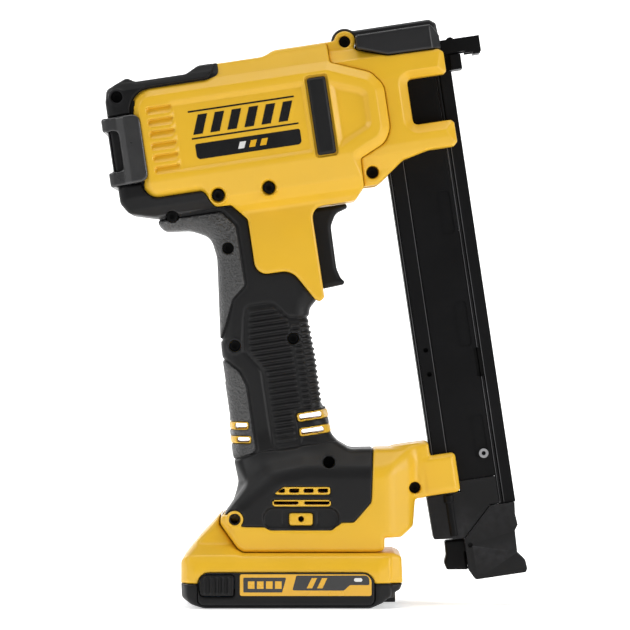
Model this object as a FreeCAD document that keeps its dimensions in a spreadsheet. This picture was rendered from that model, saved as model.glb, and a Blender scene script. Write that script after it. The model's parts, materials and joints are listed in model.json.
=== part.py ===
import FreeCAD, Part
import Sketcher
import math
import os
import re

# Cordless cable stapler: a spring-driven head, a pistol grip, a long magazine that stands
# square to the drive axis, and a slide-on battery that the tool stands on.
# Row frame: +Z up, +X towards the nose, origin on the ground below the middle of the tool.
# The head, grip and magazine are drawn square in a tool frame (X along the drive axis, Z up
# the magazine) and then tilted about Y; the foot and battery are drawn upright.

Vector = FreeCAD.Vector
Rotation = FreeCAD.Rotation
Placement = FreeCAD.Placement

SIZES = {
    # overall
    "tilt_angle": 8.5,          # degrees between the drive axis and the ground
    "wall": 2.6,                # moulded wall
    # half widths, each side of the parting plane
    "barrel_half": 31.0,
    "nose_half": 26.0,
    "cap_half": 29.0,
    "bumper_half": 32.0,
    "grip_half": 17.0,
    "grip_skin": 2.5,
    "barrel_bay_half": 28.0,
    "grip_cavity_half": 10.5,
    "foot_half": 30.0,
    "foot_skin": 1.8,
    "arm_half": 16.0,
    "cover_half": 24.0,
    "cover_ridge_half": 13.0,
    "trigger_half": 8.8,
    "channel_half": 10.4,       # slot through the nose for the magazine and driver
    # magazine
    "magazine_half": 10.0,
    "magazine_bore_half": 8.2,
    "bracket_half": 11.2,
    "end_block_half": 12.0,
    "lever_half": 6.5,
    "staple_half": 4.6,
    "stick_low": 172.0,
    "stick_high": 260.3,
    "pusher_long": 11.5,
    "rod_radius": 2.0,
    # driver
    "drive_height": 261.4,      # drive axis, up the magazine direction
    "blade_half": 4.5,
    "blade_thick": 1.6,
    "piston_height": 256.5,
    "piston_radius": 9.0,
    "rack_bottom": 254.1,
    "main_spring_wire": 1.25,
    # drive train
    "motor_radius": 16.0,
    "motor_across": -40.0,
    "motor_up": 226.0,
    "fast_module": 0.8,
    "fast_pinion_teeth": 10,
    "fast_gear_teeth": 36,
    "slow_module": 1.0,
    "slow_pinion_teeth": 10,
    "slow_gear_teeth": 32,
    "pin_circle": 12.0,
    "pin_radius": 1.5,
    "flange_radius": 13.3,
    "shaft_radius": 3.0,
    "bearing_radius": 5.5,
    # nose
    "nose_block_half": 6.2,
    "trip_half": 9.0,
    "depth_wheel_radius": 2.3,
    "depth_axle_radius": 0.7,
    # battery
    "battery_half": 37.5,
    "battery_panel_face": 38.4,
    "battery_label_face": 38.8,
    "button_face": 40.0,
    "rail_neck_half": 17.6,
    "rail_head_half": 21.1,
    "rail_gap": 0.4,
    "cell_radius": 9.1,
    "cell_long": 65.0,
    "cell_pitch": 19.0,
    "cell_height": 12.2,
    # fasteners
    "screw_head_radius": 2.7,
    "screw_head_long": 2.2,
    "screw_radius": 1.5,
    "screw_bore": 1.6,
    "boss_radius": 3.8,
    "recess_depth": 2.4,
    "insert_radius": 3.2,
    "insert_bore": 1.65,
    "hook_across": -6.8,
    "hook_up": 43.2,
}

doc = FreeCAD.newDocument("cable_stapler")
sheet = doc.addObject("Spreadsheet::Sheet", "sizes")
for row, (alias, number) in enumerate(SIZES.items(), start=1):
    sheet.set(f"A{row}", alias)
    sheet.set(f"B{row}", str(number))
    sheet.setAlias(f"B{row}", alias)
doc.recompute()

NODES = []
TILT = Placement(Vector(0, 0, 0), Rotation(Vector(0, 1, 0), -SIZES["tilt_angle"]))
UPRIGHT = Placement()
SIDE_PLANE = Rotation(Vector(1, 0, 0), 90)              # sketch x, y -> X, Z; normal -Y
FRONT_PLANE = Rotation(Vector(1, 1, 1), 120)            # sketch x, y -> Y, Z; normal +X
TOP_PLANE = Rotation()                                  # sketch x, y -> X, Y; normal +Z
ALONG = {
    "X": Rotation(Vector(0, 1, 0), 90),
    "Y": Rotation(Vector(1, 0, 0), -90),
    "Z": Rotation(),
}


def size(alias):
    """The sheet's value for a name."""
    return float(sheet.get(alias))


def linked(value):
    """Turn a number or a formula of sheet names into an expression on the sheet."""
    text = str(value)
    return re.sub(r"[a-z][a-z_]+", lambda word: "sizes." + word.group(0), text)


def bind(feature, **formulas):
    """Bind properties of a feature to formulas of sheet names."""
    for name, value in formulas.items():
        feature.setExpression(name, linked(value))
    return feature


def bind_base(feature, x, y, z):
    """Bind the three coordinates of a feature's placement."""
    for axis, value in zip("xyz", (x, y, z)):
        feature.setExpression(f"Placement.Base.{axis}", linked(value))
    return feature


def draw_outline(sketch, corners):
    """Draw a closed outline; a corner (x, y, radius) is rounded by a tangent arc."""
    count = len(corners)
    ends = []
    arcs = []
    for index, corner in enumerate(corners):
        here = Vector(corner[0], corner[1], 0)
        radius = corner[2] if len(corner) > 2 else 0
        if radius == 0:
            ends.append((here, here))
            arcs.append(None)
            continue
        before = Vector(*corners[index - 1][:2], 0) - here
        after = Vector(*corners[(index + 1) % count][:2], 0) - here
        half_angle = before.getAngle(after) / 2
        reach = radius / math.tan(half_angle)
        start = here + before.normalize() * reach
        end = here + after.normalize() * reach
        middle = (before + after).normalize() * (radius / math.sin(half_angle))
        centre = here + middle
        ends.append((start, end))
        left_turn = before.cross(after).z < 0
        limits = (start, end) if left_turn else (end, start)
        first, last = (math.atan2(point.y - centre.y, point.x - centre.x) for point in limits)
        circle = Part.Circle(centre, Vector(0, 0, 1), radius)
        arcs.append(Part.ArcOfCircle(circle, first, last))
    for index in range(count):
        if arcs[index] is not None:
            sketch.addGeometry(arcs[index], False)
        start = ends[index][1]
        end = ends[(index + 1) % count][0]
        if start.distanceToPoint(end) > 1e-6:
            sketch.addGeometry(Part.LineSegment(start, end), False)


def extruded(name, corners, plane, forward, backward):
    """Extrude an outline both ways from its plane."""
    sketch = doc.addObject("Sketcher::SketchObject", name + "_outline")
    draw_outline(sketch, corners)
    sketch.Placement = Placement(Vector(0, 0, 0), plane)
    solid = doc.addObject("Part::Extrusion", name)
    solid.Base = sketch
    solid.DirMode = "Normal"
    solid.Solid = True
    return bind(solid, LengthFwd=forward, LengthRev=backward)


def slab(name, corners, near, far):
    """An outline in X and Z, from y = near to y = far."""
    return extruded(name, corners, SIDE_PLANE, f"-({near})", far)


def even_slab(name, corners, half):
    """An outline in X and Z, the same distance each side of the parting plane."""
    return slab(name, corners, f"-({half})", half)


def bar(name, corners, start, end):
    """An outline in Y and Z, from x = start to x = end."""
    return extruded(name, corners, FRONT_PLANE, end, f"-({start})")


def plate(name, corners, low, high):
    """An outline in X and Y, from z = low to z = high."""
    return extruded(name, corners, TOP_PLANE, high, f"-({low})")


def block(name, across, deep, up):
    """A box between two limits along each axis."""
    solid = doc.addObject("Part::Box", name)
    bind(
        solid,
        Length=f"({across[1]}) - ({across[0]})",
        Width=f"({deep[1]}) - ({deep[0]})",
        Height=f"({up[1]}) - ({up[0]})",
    )
    return bind_base(solid, across[0], deep[0], up[0])


def even_block(name, across, half, up):
    """A box that is the same distance each side of the parting plane."""
    return block(name, across, (f"-({half})", half), up)


def rod(name, axis, centre, radius, start, end):
    """A cylinder along an axis; centre holds the other two coordinates in X, Y, Z order."""
    solid = doc.addObject("Part::Cylinder", name)
    solid.Placement = Placement(Vector(0, 0, 0), ALONG[axis])
    bind(solid, Radius=radius, Height=f"({end}) - ({start})")
    first, second = centre
    places = {"X": (start, first, second), "Y": (first, start, second), "Z": (first, second, start)}
    return bind_base(solid, *places[axis])


def fuse(name, *shapes):
    """One solid from several."""
    result = doc.addObject("Part::MultiFuse", name)
    result.Shapes = list(shapes)
    return result


def cut(name, base, *tools):
    """A solid with one or more others taken away."""
    result = doc.addObject("Part::Cut", name)
    result.Base = base
    result.Tool = tools[0] if len(tools) == 1 else fuse(name + "_tools", *tools)
    return result


def common(name, *shapes):
    """The space that all of the solids share."""
    result = doc.addObject("Part::MultiCommon", name)
    result.Shapes = list(shapes)
    return result


def group(name, shapes):
    """Separate solids kept together as one sub-part."""
    result = doc.addObject("Part::Compound", name)
    result.Links = list(shapes)
    return result


def tilted(feature):
    """Tilt a feature that was drawn in the tool frame."""
    feature.Placement = TILT
    return feature


def node(label, feature, frame=UPRIGHT):
    """Record a finished sub-part under its own name."""
    if frame is TILT:
        if feature.TypeId in ("Part::Box", "Part::Cylinder"):
            feature = group(label + "_solid", [feature])
        feature.Placement = TILT
    feature.Label = label
    NODES.append(feature)
    return feature


def halves(label, whole, frame=UPRIGHT):
    """Split a moulding along the parting plane into its right and left halves."""
    reach = 400
    sides = {"right": (-reach, 0), "left": (0, reach)}
    for side, deep in sides.items():
        space = block(f"{label}_{side}_space", (-reach, reach), deep, (-reach, reach))
        node(f"{label}_{side}", common(f"{label}_{side}_half", whole, space), frame)


def wound(name, axis, centre, start, end, radius, wire, turns, frame):
    """A coil spring: a round wire swept along a helix."""
    helix = doc.addObject("Part::Helix", name + "_helix")
    helix.Radius = radius - wire
    helix.Height = end - start - 2 * wire
    helix.Pitch = helix.Height.Value / turns
    section = doc.addObject("Part::Circle", name + "_wire")
    section.Radius = wire
    section.Placement = Placement(Vector(radius - wire, 0, 0), Rotation(Vector(1, 0, 0), 90))
    coil = doc.addObject("Part::Sweep", name + "_coil")
    coil.Sections = [section]
    coil.Spine = helix
    coil.Solid = True
    coil.Frenet = True
    first, second = centre
    low = start + wire
    places = {"X": (low, first, second), "Y": (first, low, second), "Z": (first, second, low)}
    coil.Placement = frame * Placement(Vector(*places[axis]), ALONG[axis])
    return coil


def spring(label, *dimensions):
    """A coil spring that is a sub-part by itself."""
    return node(label, wound(label, *dimensions))


def body_with_sketch(name, plane_role, corners):
    """A PartDesign body with one outline on one of its own origin planes."""
    body = doc.addObject("PartDesign::Body", name)
    sketch = body.newObject("Sketcher::SketchObject", name + "_profile")
    planes = {item.Role: item for item in body.Origin.OriginFeatures}
    sketch.AttachmentSupport = [(planes[plane_role], "")]
    sketch.MapMode = "FlatFace"
    draw_outline(sketch, corners)
    return body, sketch


def turned(name, profile, axis, start, centre, frame=TILT):
    """A part turned about its own Z axis; profile holds radius and height pairs."""
    body, sketch = body_with_sketch(name + "_body", "XZ_Plane", profile)
    turn = body.newObject("PartDesign::Revolution", name + "_turn")
    turn.Profile = sketch
    turn.ReferenceAxis = (sketch, ["V_Axis"])
    turn.Angle = 360
    first, second = centre
    places = {"X": (start, first, second), "Y": (first, start, second), "Z": (first, second, start)}
    body.Placement = frame * Placement(Vector(*places[axis]), ALONG[axis])
    return body


# ---------------------------------------------------------------- outlines in the tool frame

# Main housing: barrel, and the web that runs down behind the trigger.
BARREL = [
    (-10, 270.5), (15, 270.5, 20), (19.5, 273.2, 8), (46.5, 273.2), (46.5, 262.3, 1.5),
    (66, 254.2, 4), (70.8, 246.5, 4), (70.8, 224, 3), (67, 219.6, 3), (54.4, 213.6, 1.5),
    (54.2, 199.8, 1), (48.8, 193.8, 3), (30, 193.8, 3), (27, 190.8, 1), (27, 149, 1.5),
    (24.5, 147.4, 1), (22.4, 148.6, 1), (15, 161.5, 3), (11.5, 164.7, 2), (-4.5, 164.7, 5),
    (-4.5, 192.5, 3), (-11.5, 200.6, 2), (-19.5, 200.8, 3), (-24, 209.3, 3), (-43.5, 209.3, 4),
    (-53.2, 217.5, 3), (-53.5, 253, 6), (-47, 263, 6), (-14, 263.2, 2), (-10.6, 266.5, 1),
]
# Section of the barrel across the drive axis, right half then mirrored left half.
BARREL_SIDE = [(31, 217), (31, 258.5), (26.5, 263.2), (17, 271), (12, 274)]
BARREL_FOOT = [(19, 146), (19, 196), (23, 199.5), (27.5, 205)]
CAVITY = [
    (-62, 206, 3), (-62, 258, 3), (-55, 266.4, 3), (12, 267.2), (19, 270), (43.4, 270),
    (43.4, 260.5, 1), (63.6, 252, 3), (67.8, 245, 3), (67.8, 226, 3), (65.5, 222, 2),
    (51.6, 216, 1), (51.4, 203, 1), (46, 197), (24, 197), (24, 188), (11.5, 188), (11.5, 168),
    (-1, 168), (-1, 194), (-10, 204), (-18, 204), (-23, 206),
]
# The same section inside the wall, and the narrower one inside the rear cap.
BARREL_INSIDE = [
    (16.2, 160), (16.2, 197), (20.5, 202), (25, 207), (28.2, 217.5), (28.2, 257.5), (24, 261.5), (14.5, 269),
    (10, 271),
]
CAP_INSIDE = [(16, 197), (19, 203), (26, 210), (26, 258), (22, 262.5), (15.5, 268.5)]
NOSE = [
    (47, 273), (56, 273), (60.4, 266.8), (75, 261.6, 4), (100, 261.2), (102.3, 259.4),
    (102.3, 250), (101, 248.8), (82.5, 248.8, 2.5), (82.5, 226, 2.5), (101, 226), (102.5, 224.5),
    (102.5, 214.8), (100.6, 213), (88, 213, 8), (75, 210, 6), (66, 203.5, 6), (60, 199.9, 3),
    (54.9, 199.9), (54.9, 213.2, 1), (67.3, 219.3, 3), (71.3, 223.7, 3), (71.3, 246.7, 4),
    (66.3, 254.6, 4), (47, 262.6, 1.5),
]
NOSE_SECTION = [(26, 219), (26, 251), (23, 262), (16, 268), (16, 278)]
NOSE_SECTION_LOW = [(19, 198), (22, 213)]
REAR_CAP = [
    (-10.2, 270.7), (-17.5, 270.7, 3), (-24, 267.1, 4), (-49, 267.1, 2), (-53, 269.7, 2),
    (-63.6, 265, 3), (-65, 259, 3), (-65, 209, 4), (-61.5, 203.5, 4), (-49, 199.8, 3),
    (-11.8, 199.8),
]
TOP_COVER_SIDE = [
    (60.5, 267.1), (60.5, 273.7, 1.5), (98, 273.7, 2), (101.5, 268), (101.5, 261.6), (75.2, 262, 4),
]
TOP_COVER_RIDGE = [
    (57, 276.8), (98, 276.8, 2), (101, 274.5), (101.5, 268), (101.5, 262), (75.3, 262.2), (60.6, 267.2),
    (57, 272),
]
GRIP = [
    (-48.6, 199.5), (-47, 193.8, 4), (-33, 191.3, 8), (-23.4, 184, 7), (-22.6, 174, 12),
    (-27.3, 132, 25), (-27.5, 70), (17.2, 70), (18.6, 122, 25), (17.8, 140, 2), (22.2, 147.4, 2),
    (14.8, 161.2, 3), (11.3, 164.4, 2), (-4.8, 164.4, 5), (-4.8, 192.4, 3), (-11.6, 200.3, 2),
    (-19, 200.3),
]
ABOVE_GRIP = [
    (-60, 199.6), (-14, 199.6), (-4.6, 193), (-4.6, 164.6), (40, 164.6), (40, 230), (-60, 230),
]
GRIP_CORE = [
    (-44, 200), (-43, 196, 3), (-33, 194, 6), (-21, 186, 7), (-20, 174, 12), (-24.6, 132, 25),
    (-24.8, 60), (14.6, 60), (16, 122, 25), (15.2, 150), (13, 170), (-4, 202),
]
GRIP_CAVITY = [
    (-20.5, 56), (-20.5, 130), (-16.5, 176), (-16.5, 207), (-3, 207), (4, 168), (11, 168), (11, 56),
]
TRIGGER = [
    (20, 193.3), (44.4, 193.3, 1), (44.8, 191.4, 1), (36.6, 186.8, 4), (35.2, 161, 12), (38, 155.4, 1),
    (37, 154), (27.5, 153.4), (20, 158, 2),
]
TRIGGER_SLOT = [(11.4, 194.1), (36, 194.1), (36, 192), (28, 150), (20, 151.6), (11.4, 159)]
CLAMP = [(61, 45, 2), (79, 45, 2), (79, 64.5, 2), (61, 64.5, 2)]
ARM_CHANNEL = [(66.8, 40), (100, 40), (100, 75), (66.8, 75)]
PAD_SEAT = [(33.7, 217.5), (43.5, 217.5), (43.5, 256), (33.7, 256)]
PAD = [(34, 217.8, 1.2), (43.2, 217.8, 1.2), (43.2, 255.8, 1.2), (34, 255.8, 1.2)]
BUMPER = [(-68.4, 218, 3), (-49.5, 218, 4), (-49.5, 251.2, 4), (-68.4, 251.2, 3)]
BUMPER_WINDOW = [(-66, 224.5, 2), (-60.3, 224.5, 2), (-60.3, 244.5, 2), (-66, 244.5, 2)]
BRACKET = [
    (62.2, 44.2), (62.6, 23.3, 1), (77.4, 21.7), (92.5, 36.4), (97.1, 36.4), (97.1, 49.8), (79.4, 49.8),
    (79.4, 44.4),
]
END_BLOCK = [
    (77.5, 5.6), (77.5, 21.2), (92.6, 35.9), (104.6, 35.6), (104, 30), (104.5, 24.5), (102.7, 22, 1),
    (102.3, 11, 1), (105.6, 7, 2), (106, 2.5, 1), (105, 0.8, 1), (80, 0.8, 2),
]
LEVER = [
    (67.8, 21.6, 1), (67.5, 14.5, 2), (66, 11, 2), (66.8, 7.4, 1), (75.2, 6.2, 1), (75.2, 14, 1),
    (82.4, 15, 2), (82.4, 20.4, 2), (76, 21.2),
]

# ---------------------------------------------------------------- outlines in the upright frame

FOOT = [
    (-43.2, 47, 2), (-46.2, 44, 2), (-46.4, 40.5, 2), (-37.6, 28.6, 3), (-35, 27, 1), (30, 27), (34, 28, 2),
    (34, 34), (42, 34, 2), (48.2, 39.2, 3), (49.2, 53, 1), (53.7, 53.5), (53.7, 79.9), (39, 77.6, 3),
    (17, 77.2, 6), (6.5, 83.4, 5), (3.8, 96), (-41, 96), (-37.6, 73, 6), (-33.9, 60.6, 5),
]
FOOT_PLAN = [
    (-47, 24), (-40, 30), (37, 30), (45, 23), (49, 16.5), (80, 16), (80, -16), (49, -16.5), (45, -23),
    (37, -30), (-40, -30), (-47, -24),
]
FOOT_SECTION = [(30, 27), (30, 61), (27, 68), (20.5, 76), (17, 84), (17, 104)]
FOOT_SKIN = [
    (-48, 48), (-43, 45), (-35.5, 39.5, 2), (-24.5, 39.3, 1), (-22, 37.8, 1), (8, 37.8, 1), (13, 41.6, 2),
    (19, 41.7, 2), (27.5, 51.5, 3), (28.5, 80), (20, 100), (-48, 100),
]
BATTERY = [
    (-65.3, 12), (-65.3, 23, 4), (-57, 33.5), (-50, 41), (-43.6, 48.4, 0.5), (-46.7, 44, 1.5),
    (-46.9, 40.4, 2), (-38, 28.5, 3), (-35.3, 26.7, 1), (38.4, 26.7, 1), (42.2, 25, 2), (42.8, 12),
]
BATTERY_BASE = [
    (-65.3, 12), (-65, 5, 3), (-60, 1.8, 4), (-54, 0, 4), (27, 0, 4), (33, 2.6, 3), (35.5, 4.7),
    (38.6, 5, 1), (39, 7.5), (41.5, 9, 1), (42.7, 12),
]
BATTERY_SECTION = [(37.5, 0), (37.5, 20), (34.5, 25.8), (26, 31), (20, 50)]
BATTERY_PANEL = [(-57, 1.6, 3), (-57, 17.5, 5.5), (29, 17.5, 6), (29, 1.6, 3)]
BATTERY_LABEL = [(-36.5, 6.3, 1), (-36.5, 16.8, 1), (27.5, 16.8, 4), (27.5, 6.3, 1)]
BUTTON = [(-56, 6.2, 2), (-56, 16.3, 3.5), (-39.5, 16.3, 1), (-39.5, 6.2, 1)]

# Screws driven from the right: across, up, outer face, in each frame.
HEAD_SCREWS = [
    (-17, 206, "barrel_half - 2.5"), (8, 206, "barrel_half - 2.5"), (-59, 260.8, "cap_half - 1"),
    (-41, 199.3, "cap_half - 7"), (55.3, 271.8, "16"), (59.3, 206.2, "nose_half - 6"),
    (-16.3, 180, "grip_half"), (-20, 132, "grip_half"), (8.8, 131.3, "grip_half"),
    (57, 50.2, "arm_half"),
]
FOOT_SCREWS = [(6.8, 70.8, "20.5")]
DEPTH_WHEEL_AT = (107, 265)
CHANNEL_SCREW = (93.2, 61.7)
LATCH_PIN = (80, 18)
GUIDE_ROD = (90, 0)
CONTACTS = [-15, -9, -3, 3, 9, 15]                      # contact blades, across the battery


def mirrored_section(right_low, right_high):
    """A closed section from its right side, low to high, and the same points mirrored."""
    right = right_low + right_high
    left = [(-point[0], point[1]) for point in reversed(right)]
    return right + left


def bosses(name, screws, radius, face_inset, far):
    """Cylinders across the tool at each screw, from its outer face inwards."""
    return [
        rod(f"{name}_{index}", "Y", (across, up), radius, f"-({face} - {face_inset})", far)
        for index, (across, up, face) in enumerate(screws)
    ]


def screw_space(name, screws):
    """What each screw takes out of the mouldings: its head's recess and its bore."""
    space = bosses(name + "_bore", screws, "screw_bore", "0", "12")
    for index, (across, up, face) in enumerate(screws):
        bottom = f"-({face} - recess_depth - screw_head_long)"
        wide = "screw_head_radius + 0.15"
        recess = rod(f"{name}_recess_{index}", "Y", (across, up), wide, "-(barrel_half + 2)", bottom)
        space.append(recess)
    return space


def housing():
    """Main clamshell: barrel, trigger web, grip core, foot, arm and magazine clamp."""
    section = mirrored_section(BARREL_FOOT, BARREL_SIDE)
    barrel = common(
        "barrel_form",
        even_slab("barrel_side", BARREL, "barrel_half"),
        bar("barrel_section", section, "-70", "80"),
    )
    core = even_slab("grip_core_form", GRIP_CORE, "grip_half - grip_skin - 0.5")
    clamp = even_slab("clamp_form", CLAMP, "arm_half + 1")
    arm_link = even_block("arm_link_form", (50, 66.6), "arm_half", (46, 71))
    head = fuse("head_form", barrel, core, clamp, arm_link)
    hollow = cut(
        "head_hollow",
        head,
        inside("barrel_inside", BARREL_INSIDE),
        even_slab("grip_cavity_form", GRIP_CAVITY, "grip_cavity_half"),
        even_slab("trigger_slot_form", TRIGGER_SLOT, "trigger_half + 0.5"),
        even_block("driver_channel_form", (20, 104), "channel_half", (250, 266)),
        even_block("magazine_channel_form", (66.8, 110), "channel_half - 0.2", (30, 250)),
    )
    posts = common(
        "head_posts_trimmed",
        fuse("head_posts", *bosses("head_post", HEAD_SCREWS, "boss_radius", "0", "barrel_half")),
        fuse("head_post_space", barrel, core, arm_link),
    )
    head_whole = tilted(fuse("head_whole", hollow, posts))
    outer = common(
        "foot_outer",
        even_slab("foot_side", FOOT, "foot_half + 2"),
        plate("foot_plan", FOOT_PLAN, "20", "110"),
        bar("foot_front", mirrored_section([], FOOT_SECTION), "-60", "90"),
    )
    inner = foot_inner("foot_inner")
    band = cut("foot_band", outer, even_slab("foot_skin_space", FOOT_SKIN, "foot_half + 5"))
    bay = fuse(
        "foot_bay",
        even_block("rail_neck_space", (-60, 27), "rail_neck_half + rail_gap", (20, 33)),
        even_block("rail_head_space", (-60, 27), "rail_head_half + rail_gap", (32.8, 41.5)),
        even_block("terminal_space", (20, 31.5), "19.4", (32.8, 42)),
        even_block("board_space", (-30, 24), "21.5", (41, 60)),
        even_block("neck_space", (-26, 0), "grip_cavity_half", (58, 92)),
    )
    hooks = [
        block(
            f"hook_boss_form_{index}", (-12.5, -1.2),
            (f"{sign}({low})", f"{sign}({high})"), (38, 48.4),
        )
        for index, (sign, low, high) in enumerate(
            [("-", "foot_half - foot_skin - 0.7", "21.8"), ("", "21.8", "foot_half - foot_skin - 0.7")]
        )
    ]
    foot_hollow = cut("foot_hollow", fuse("foot_form", band, inner), bay)
    foot_post = rod("foot_post", "Y", (6.8, 70.8), "boss_radius", "-16", "16")
    foot_whole = fuse("foot_whole", foot_hollow, foot_post, *hooks)
    hook_at = ("hook_across", "hook_up")
    hook_bores = rod("hook_bores", "Y", hook_at, "insert_radius + 0.02", "-(foot_half + 3)", "foot_half + 3")
    keep_core = even_block("hook_core", (-11, -2.5), "21.8", (41.6, 48))
    whole = cut(
        "housing_whole",
        fuse("housing_form", head_whole, foot_whole),
        tilted(fuse("head_screw_space", *screw_space("head_screw", HEAD_SCREWS))),
        fuse("foot_screw_space", *screw_space("foot_screw", FOOT_SCREWS)),
        cut("hook_bores_outside", hook_bores, keep_core),
        tilted(even_slab("arm_channel_form", ARM_CHANNEL, "channel_half - 0.2")),
        tilted(even_slab("pad_seat_form", PAD_SEAT, "barrel_half + 1")),
    )
    seated = fuse("housing_seated", whole, pad_backing())
    halves("housing", seated)


def inside(name, section):
    """The hollow of the head, under a given section."""
    return common(
        name,
        even_slab(name + "_side", CAVITY, "barrel_half"),
        bar(name + "_section", mirrored_section([], section), "-66", "72"),
    )


def pad_backing():
    """The wall left behind each side pad's seat."""
    seat = even_slab("pad_backing_form", PAD_SEAT, "barrel_half - 1.4")
    hollow = even_block("pad_backing_space", (30, 50), "barrel_bay_half", (210, 262))
    return tilted(cut("pad_backing", seat, hollow))


def foot_inner(name):
    """The foot's form under its soft skin."""
    section = [(point[0] - size("foot_skin"), point[1]) for point in FOOT_SECTION]
    plan = [(x, y - math.copysign(size("foot_skin"), y)) for x, y in FOOT_PLAN]
    return common(
        name,
        even_slab(name + "_side", FOOT, "foot_half"),
        plate(name + "_plan", plan, "20", "110"),
        bar(name + "_front", mirrored_section([], section), "-60", "90"),
    )


def grip_overmould():
    """Soft skin on the grip and on the shoulders of the foot, one moulding each side."""
    sleeve = cut(
        "grip_sleeve",
        even_slab("grip_form", GRIP, "grip_half"),
        even_slab("grip_core_space", GRIP_CORE, "grip_half - grip_skin - 0.5"),
        fuse("grip_screw_space", *screw_space("grip_screw", [HEAD_SCREWS[3]] + HEAD_SCREWS[6:9])),
        even_slab("grip_barrel_space", ABOVE_GRIP, "barrel_half"),
        even_slab("grip_cavity_space", GRIP_CAVITY, "grip_cavity_half"),
        even_slab("grip_trigger_space", TRIGGER_SLOT, "trigger_half + 0.5"),
    )
    foot_space = even_block("grip_foot_space", (-60, 60), "barrel_half + 20", (-20, 96))
    sleeve_above = cut("grip_sleeve_above", tilted(sleeve), foot_space)
    outer = common(
        "skin_outer",
        even_slab("skin_side", FOOT, "foot_half + 2"),
        plate("skin_plan", FOOT_PLAN, "20", "110"),
        bar("skin_front", mirrored_section([], FOOT_SECTION), "-60", "90"),
        even_slab("skin_region", FOOT_SKIN, "foot_half + 5"),
    )
    skin = cut(
        "foot_skin_form",
        outer,
        foot_inner("skin_inner"),
        even_slab("hook_window", [(-12.5, 40.3), (-1.2, 40.3), (-1.2, 46), (-12.5, 46)], "foot_half + 3"),
        fuse("skin_screw_space", *screw_space("skin_screw", FOOT_SCREWS)),
        tilted(even_slab("skin_cavity_space", GRIP_CAVITY, "grip_cavity_half")),
    )
    halves("grip_overmould", fuse("overmould_form", sleeve_above, skin))


def nose_housing():
    """Forked front casing that holds the magazine's top end."""
    section = mirrored_section(NOSE_SECTION_LOW, NOSE_SECTION)
    form = common(
        "nose_form",
        even_slab("nose_side", NOSE, "nose_half"),
        bar("nose_section", section, "40", "110"),
    )
    top_boss = rod("nose_top_boss", "Y", (55.3, 271.8), 5.0, -16, 16)
    whole = cut(
        "nose_whole",
        fuse("nose_with_boss", form, top_boss),
        even_block("nose_channel", (54, 110), "channel_half", (190, 266)),
        even_block("nose_driver_channel", (40, 110), "channel_half", (250, 266)),
        even_slab("nose_barrel_space", BARREL, "barrel_half + 2"),
        fuse("nose_screw_space", *screw_space("nose_screw", HEAD_SCREWS[4:6])),
    )
    halves("nose_housing", whole, TILT)


def rear_cap():
    """Black casing behind and above the barrel."""
    form = even_slab("cap_form", REAR_CAP, "cap_half")
    section = bar(
        "cap_section",
        mirrored_section([(22, 199), (29, 209)], [(29, 259), (25, 265), (19, 271)]), "-70", "0",
    )
    whole = cut(
        "cap_whole",
        common("cap_rounded", form, section),
        even_slab("cap_barrel_space", BARREL, "barrel_half + 2"),
        inside("cap_inside", CAP_INSIDE),
        even_slab("cap_grip_cavity_space", GRIP_CAVITY, "grip_cavity_half"),
        even_slab("cap_core_space", GRIP_CORE, "grip_half - grip_skin - 0.5"),
    )
    post = rod("cap_post", "Y", (-59, 260.8), 3.4, "-(cap_half - 1.5)", "cap_half - 1.5")
    drilled = cut(
        "cap_drilled",
        fuse("cap_with_post", whole, post),
        fuse("cap_screw_space", *screw_space("cap_screw", HEAD_SCREWS[2:4])),
    )
    halves("rear_cap", drilled, TILT)


def rear_bumper():
    """Clip-on rubber guard round the back of the head."""
    band = cut(
        "bumper_band",
        even_slab("bumper_form", BUMPER, "bumper_half"),
        even_block("bumper_head_space", (-65, -40), "barrel_half", (200, 280)),
    )
    trimmed = cut(
        "bumper_trimmed",
        band,
        even_block("bumper_window", (-70, -66.2), "barrel_half - 6", (225, 244.5)),
        slab("bumper_notch_right", BUMPER_WINDOW, -40, "-(barrel_half + 0.4)"),
        slab("bumper_notch_left", BUMPER_WINDOW, "barrel_half + 0.4", 40),
    )
    side_gap = cut(
        "bumper_gap_fill",
        even_block("bumper_gap_form", (-64.8, -54), "barrel_half", (219, 250)),
        even_block("bumper_gap_space", (-70, -40), "cap_half", (200, 280)),
    )
    node("rear_bumper", fuse("bumper_whole", trimmed, side_gap), TILT)


def top_cover():
    """Black cover over the driver channel, with a raised ridge along its middle."""
    side = even_slab("cover_side_form", TOP_COVER_SIDE, "cover_half")
    ridge = even_slab("cover_ridge_form", TOP_COVER_RIDGE, "cover_ridge_half")
    section = bar(
        "cover_section",
        mirrored_section([(24, 261), (24, 266)], [(20, 273.7), (13, 273.7), (12, 277)]), "50", "105",
    )
    whole = cut(
        "cover_whole",
        common("cover_rounded", fuse("cover_form", side, ridge), section),
        even_block("cover_channel", (58, 110), "channel_half", (255, 271)),
        rod("cover_boss_space", "Y", (55.3, 271.8), 5.3, "-cover_half", "cover_half"),
    )
    node("nose_top_cover", whole, TILT)


def side_pads():
    """Rubber bumpers let into each side of the barrel."""
    node("side_pad_right", slab("pad_right", PAD, "-(barrel_half + 0.6)", "-(barrel_half - 1.4)"), TILT)
    node("side_pad_left", slab("pad_left", PAD, "barrel_half - 1.4", "barrel_half + 0.6"), TILT)


def screw(name, across, up, face):
    """One housing screw, driven from the right."""
    head_start = f"-({face} - recess_depth)"
    head_end = f"-({face} - recess_depth - screw_head_long)"
    head = rod(name + "_head", "Y", (across, up), "screw_head_radius", head_start, head_end)
    shank = rod(name + "_shank", "Y", (across, up), "screw_radius", head_end, "9")
    socket = rod(name + "_socket", "Y", (across, up), 1.2, head_start, f"{head_start} + 1.4")
    return cut(name, fuse(name + "_form", head, shank), socket)


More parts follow.
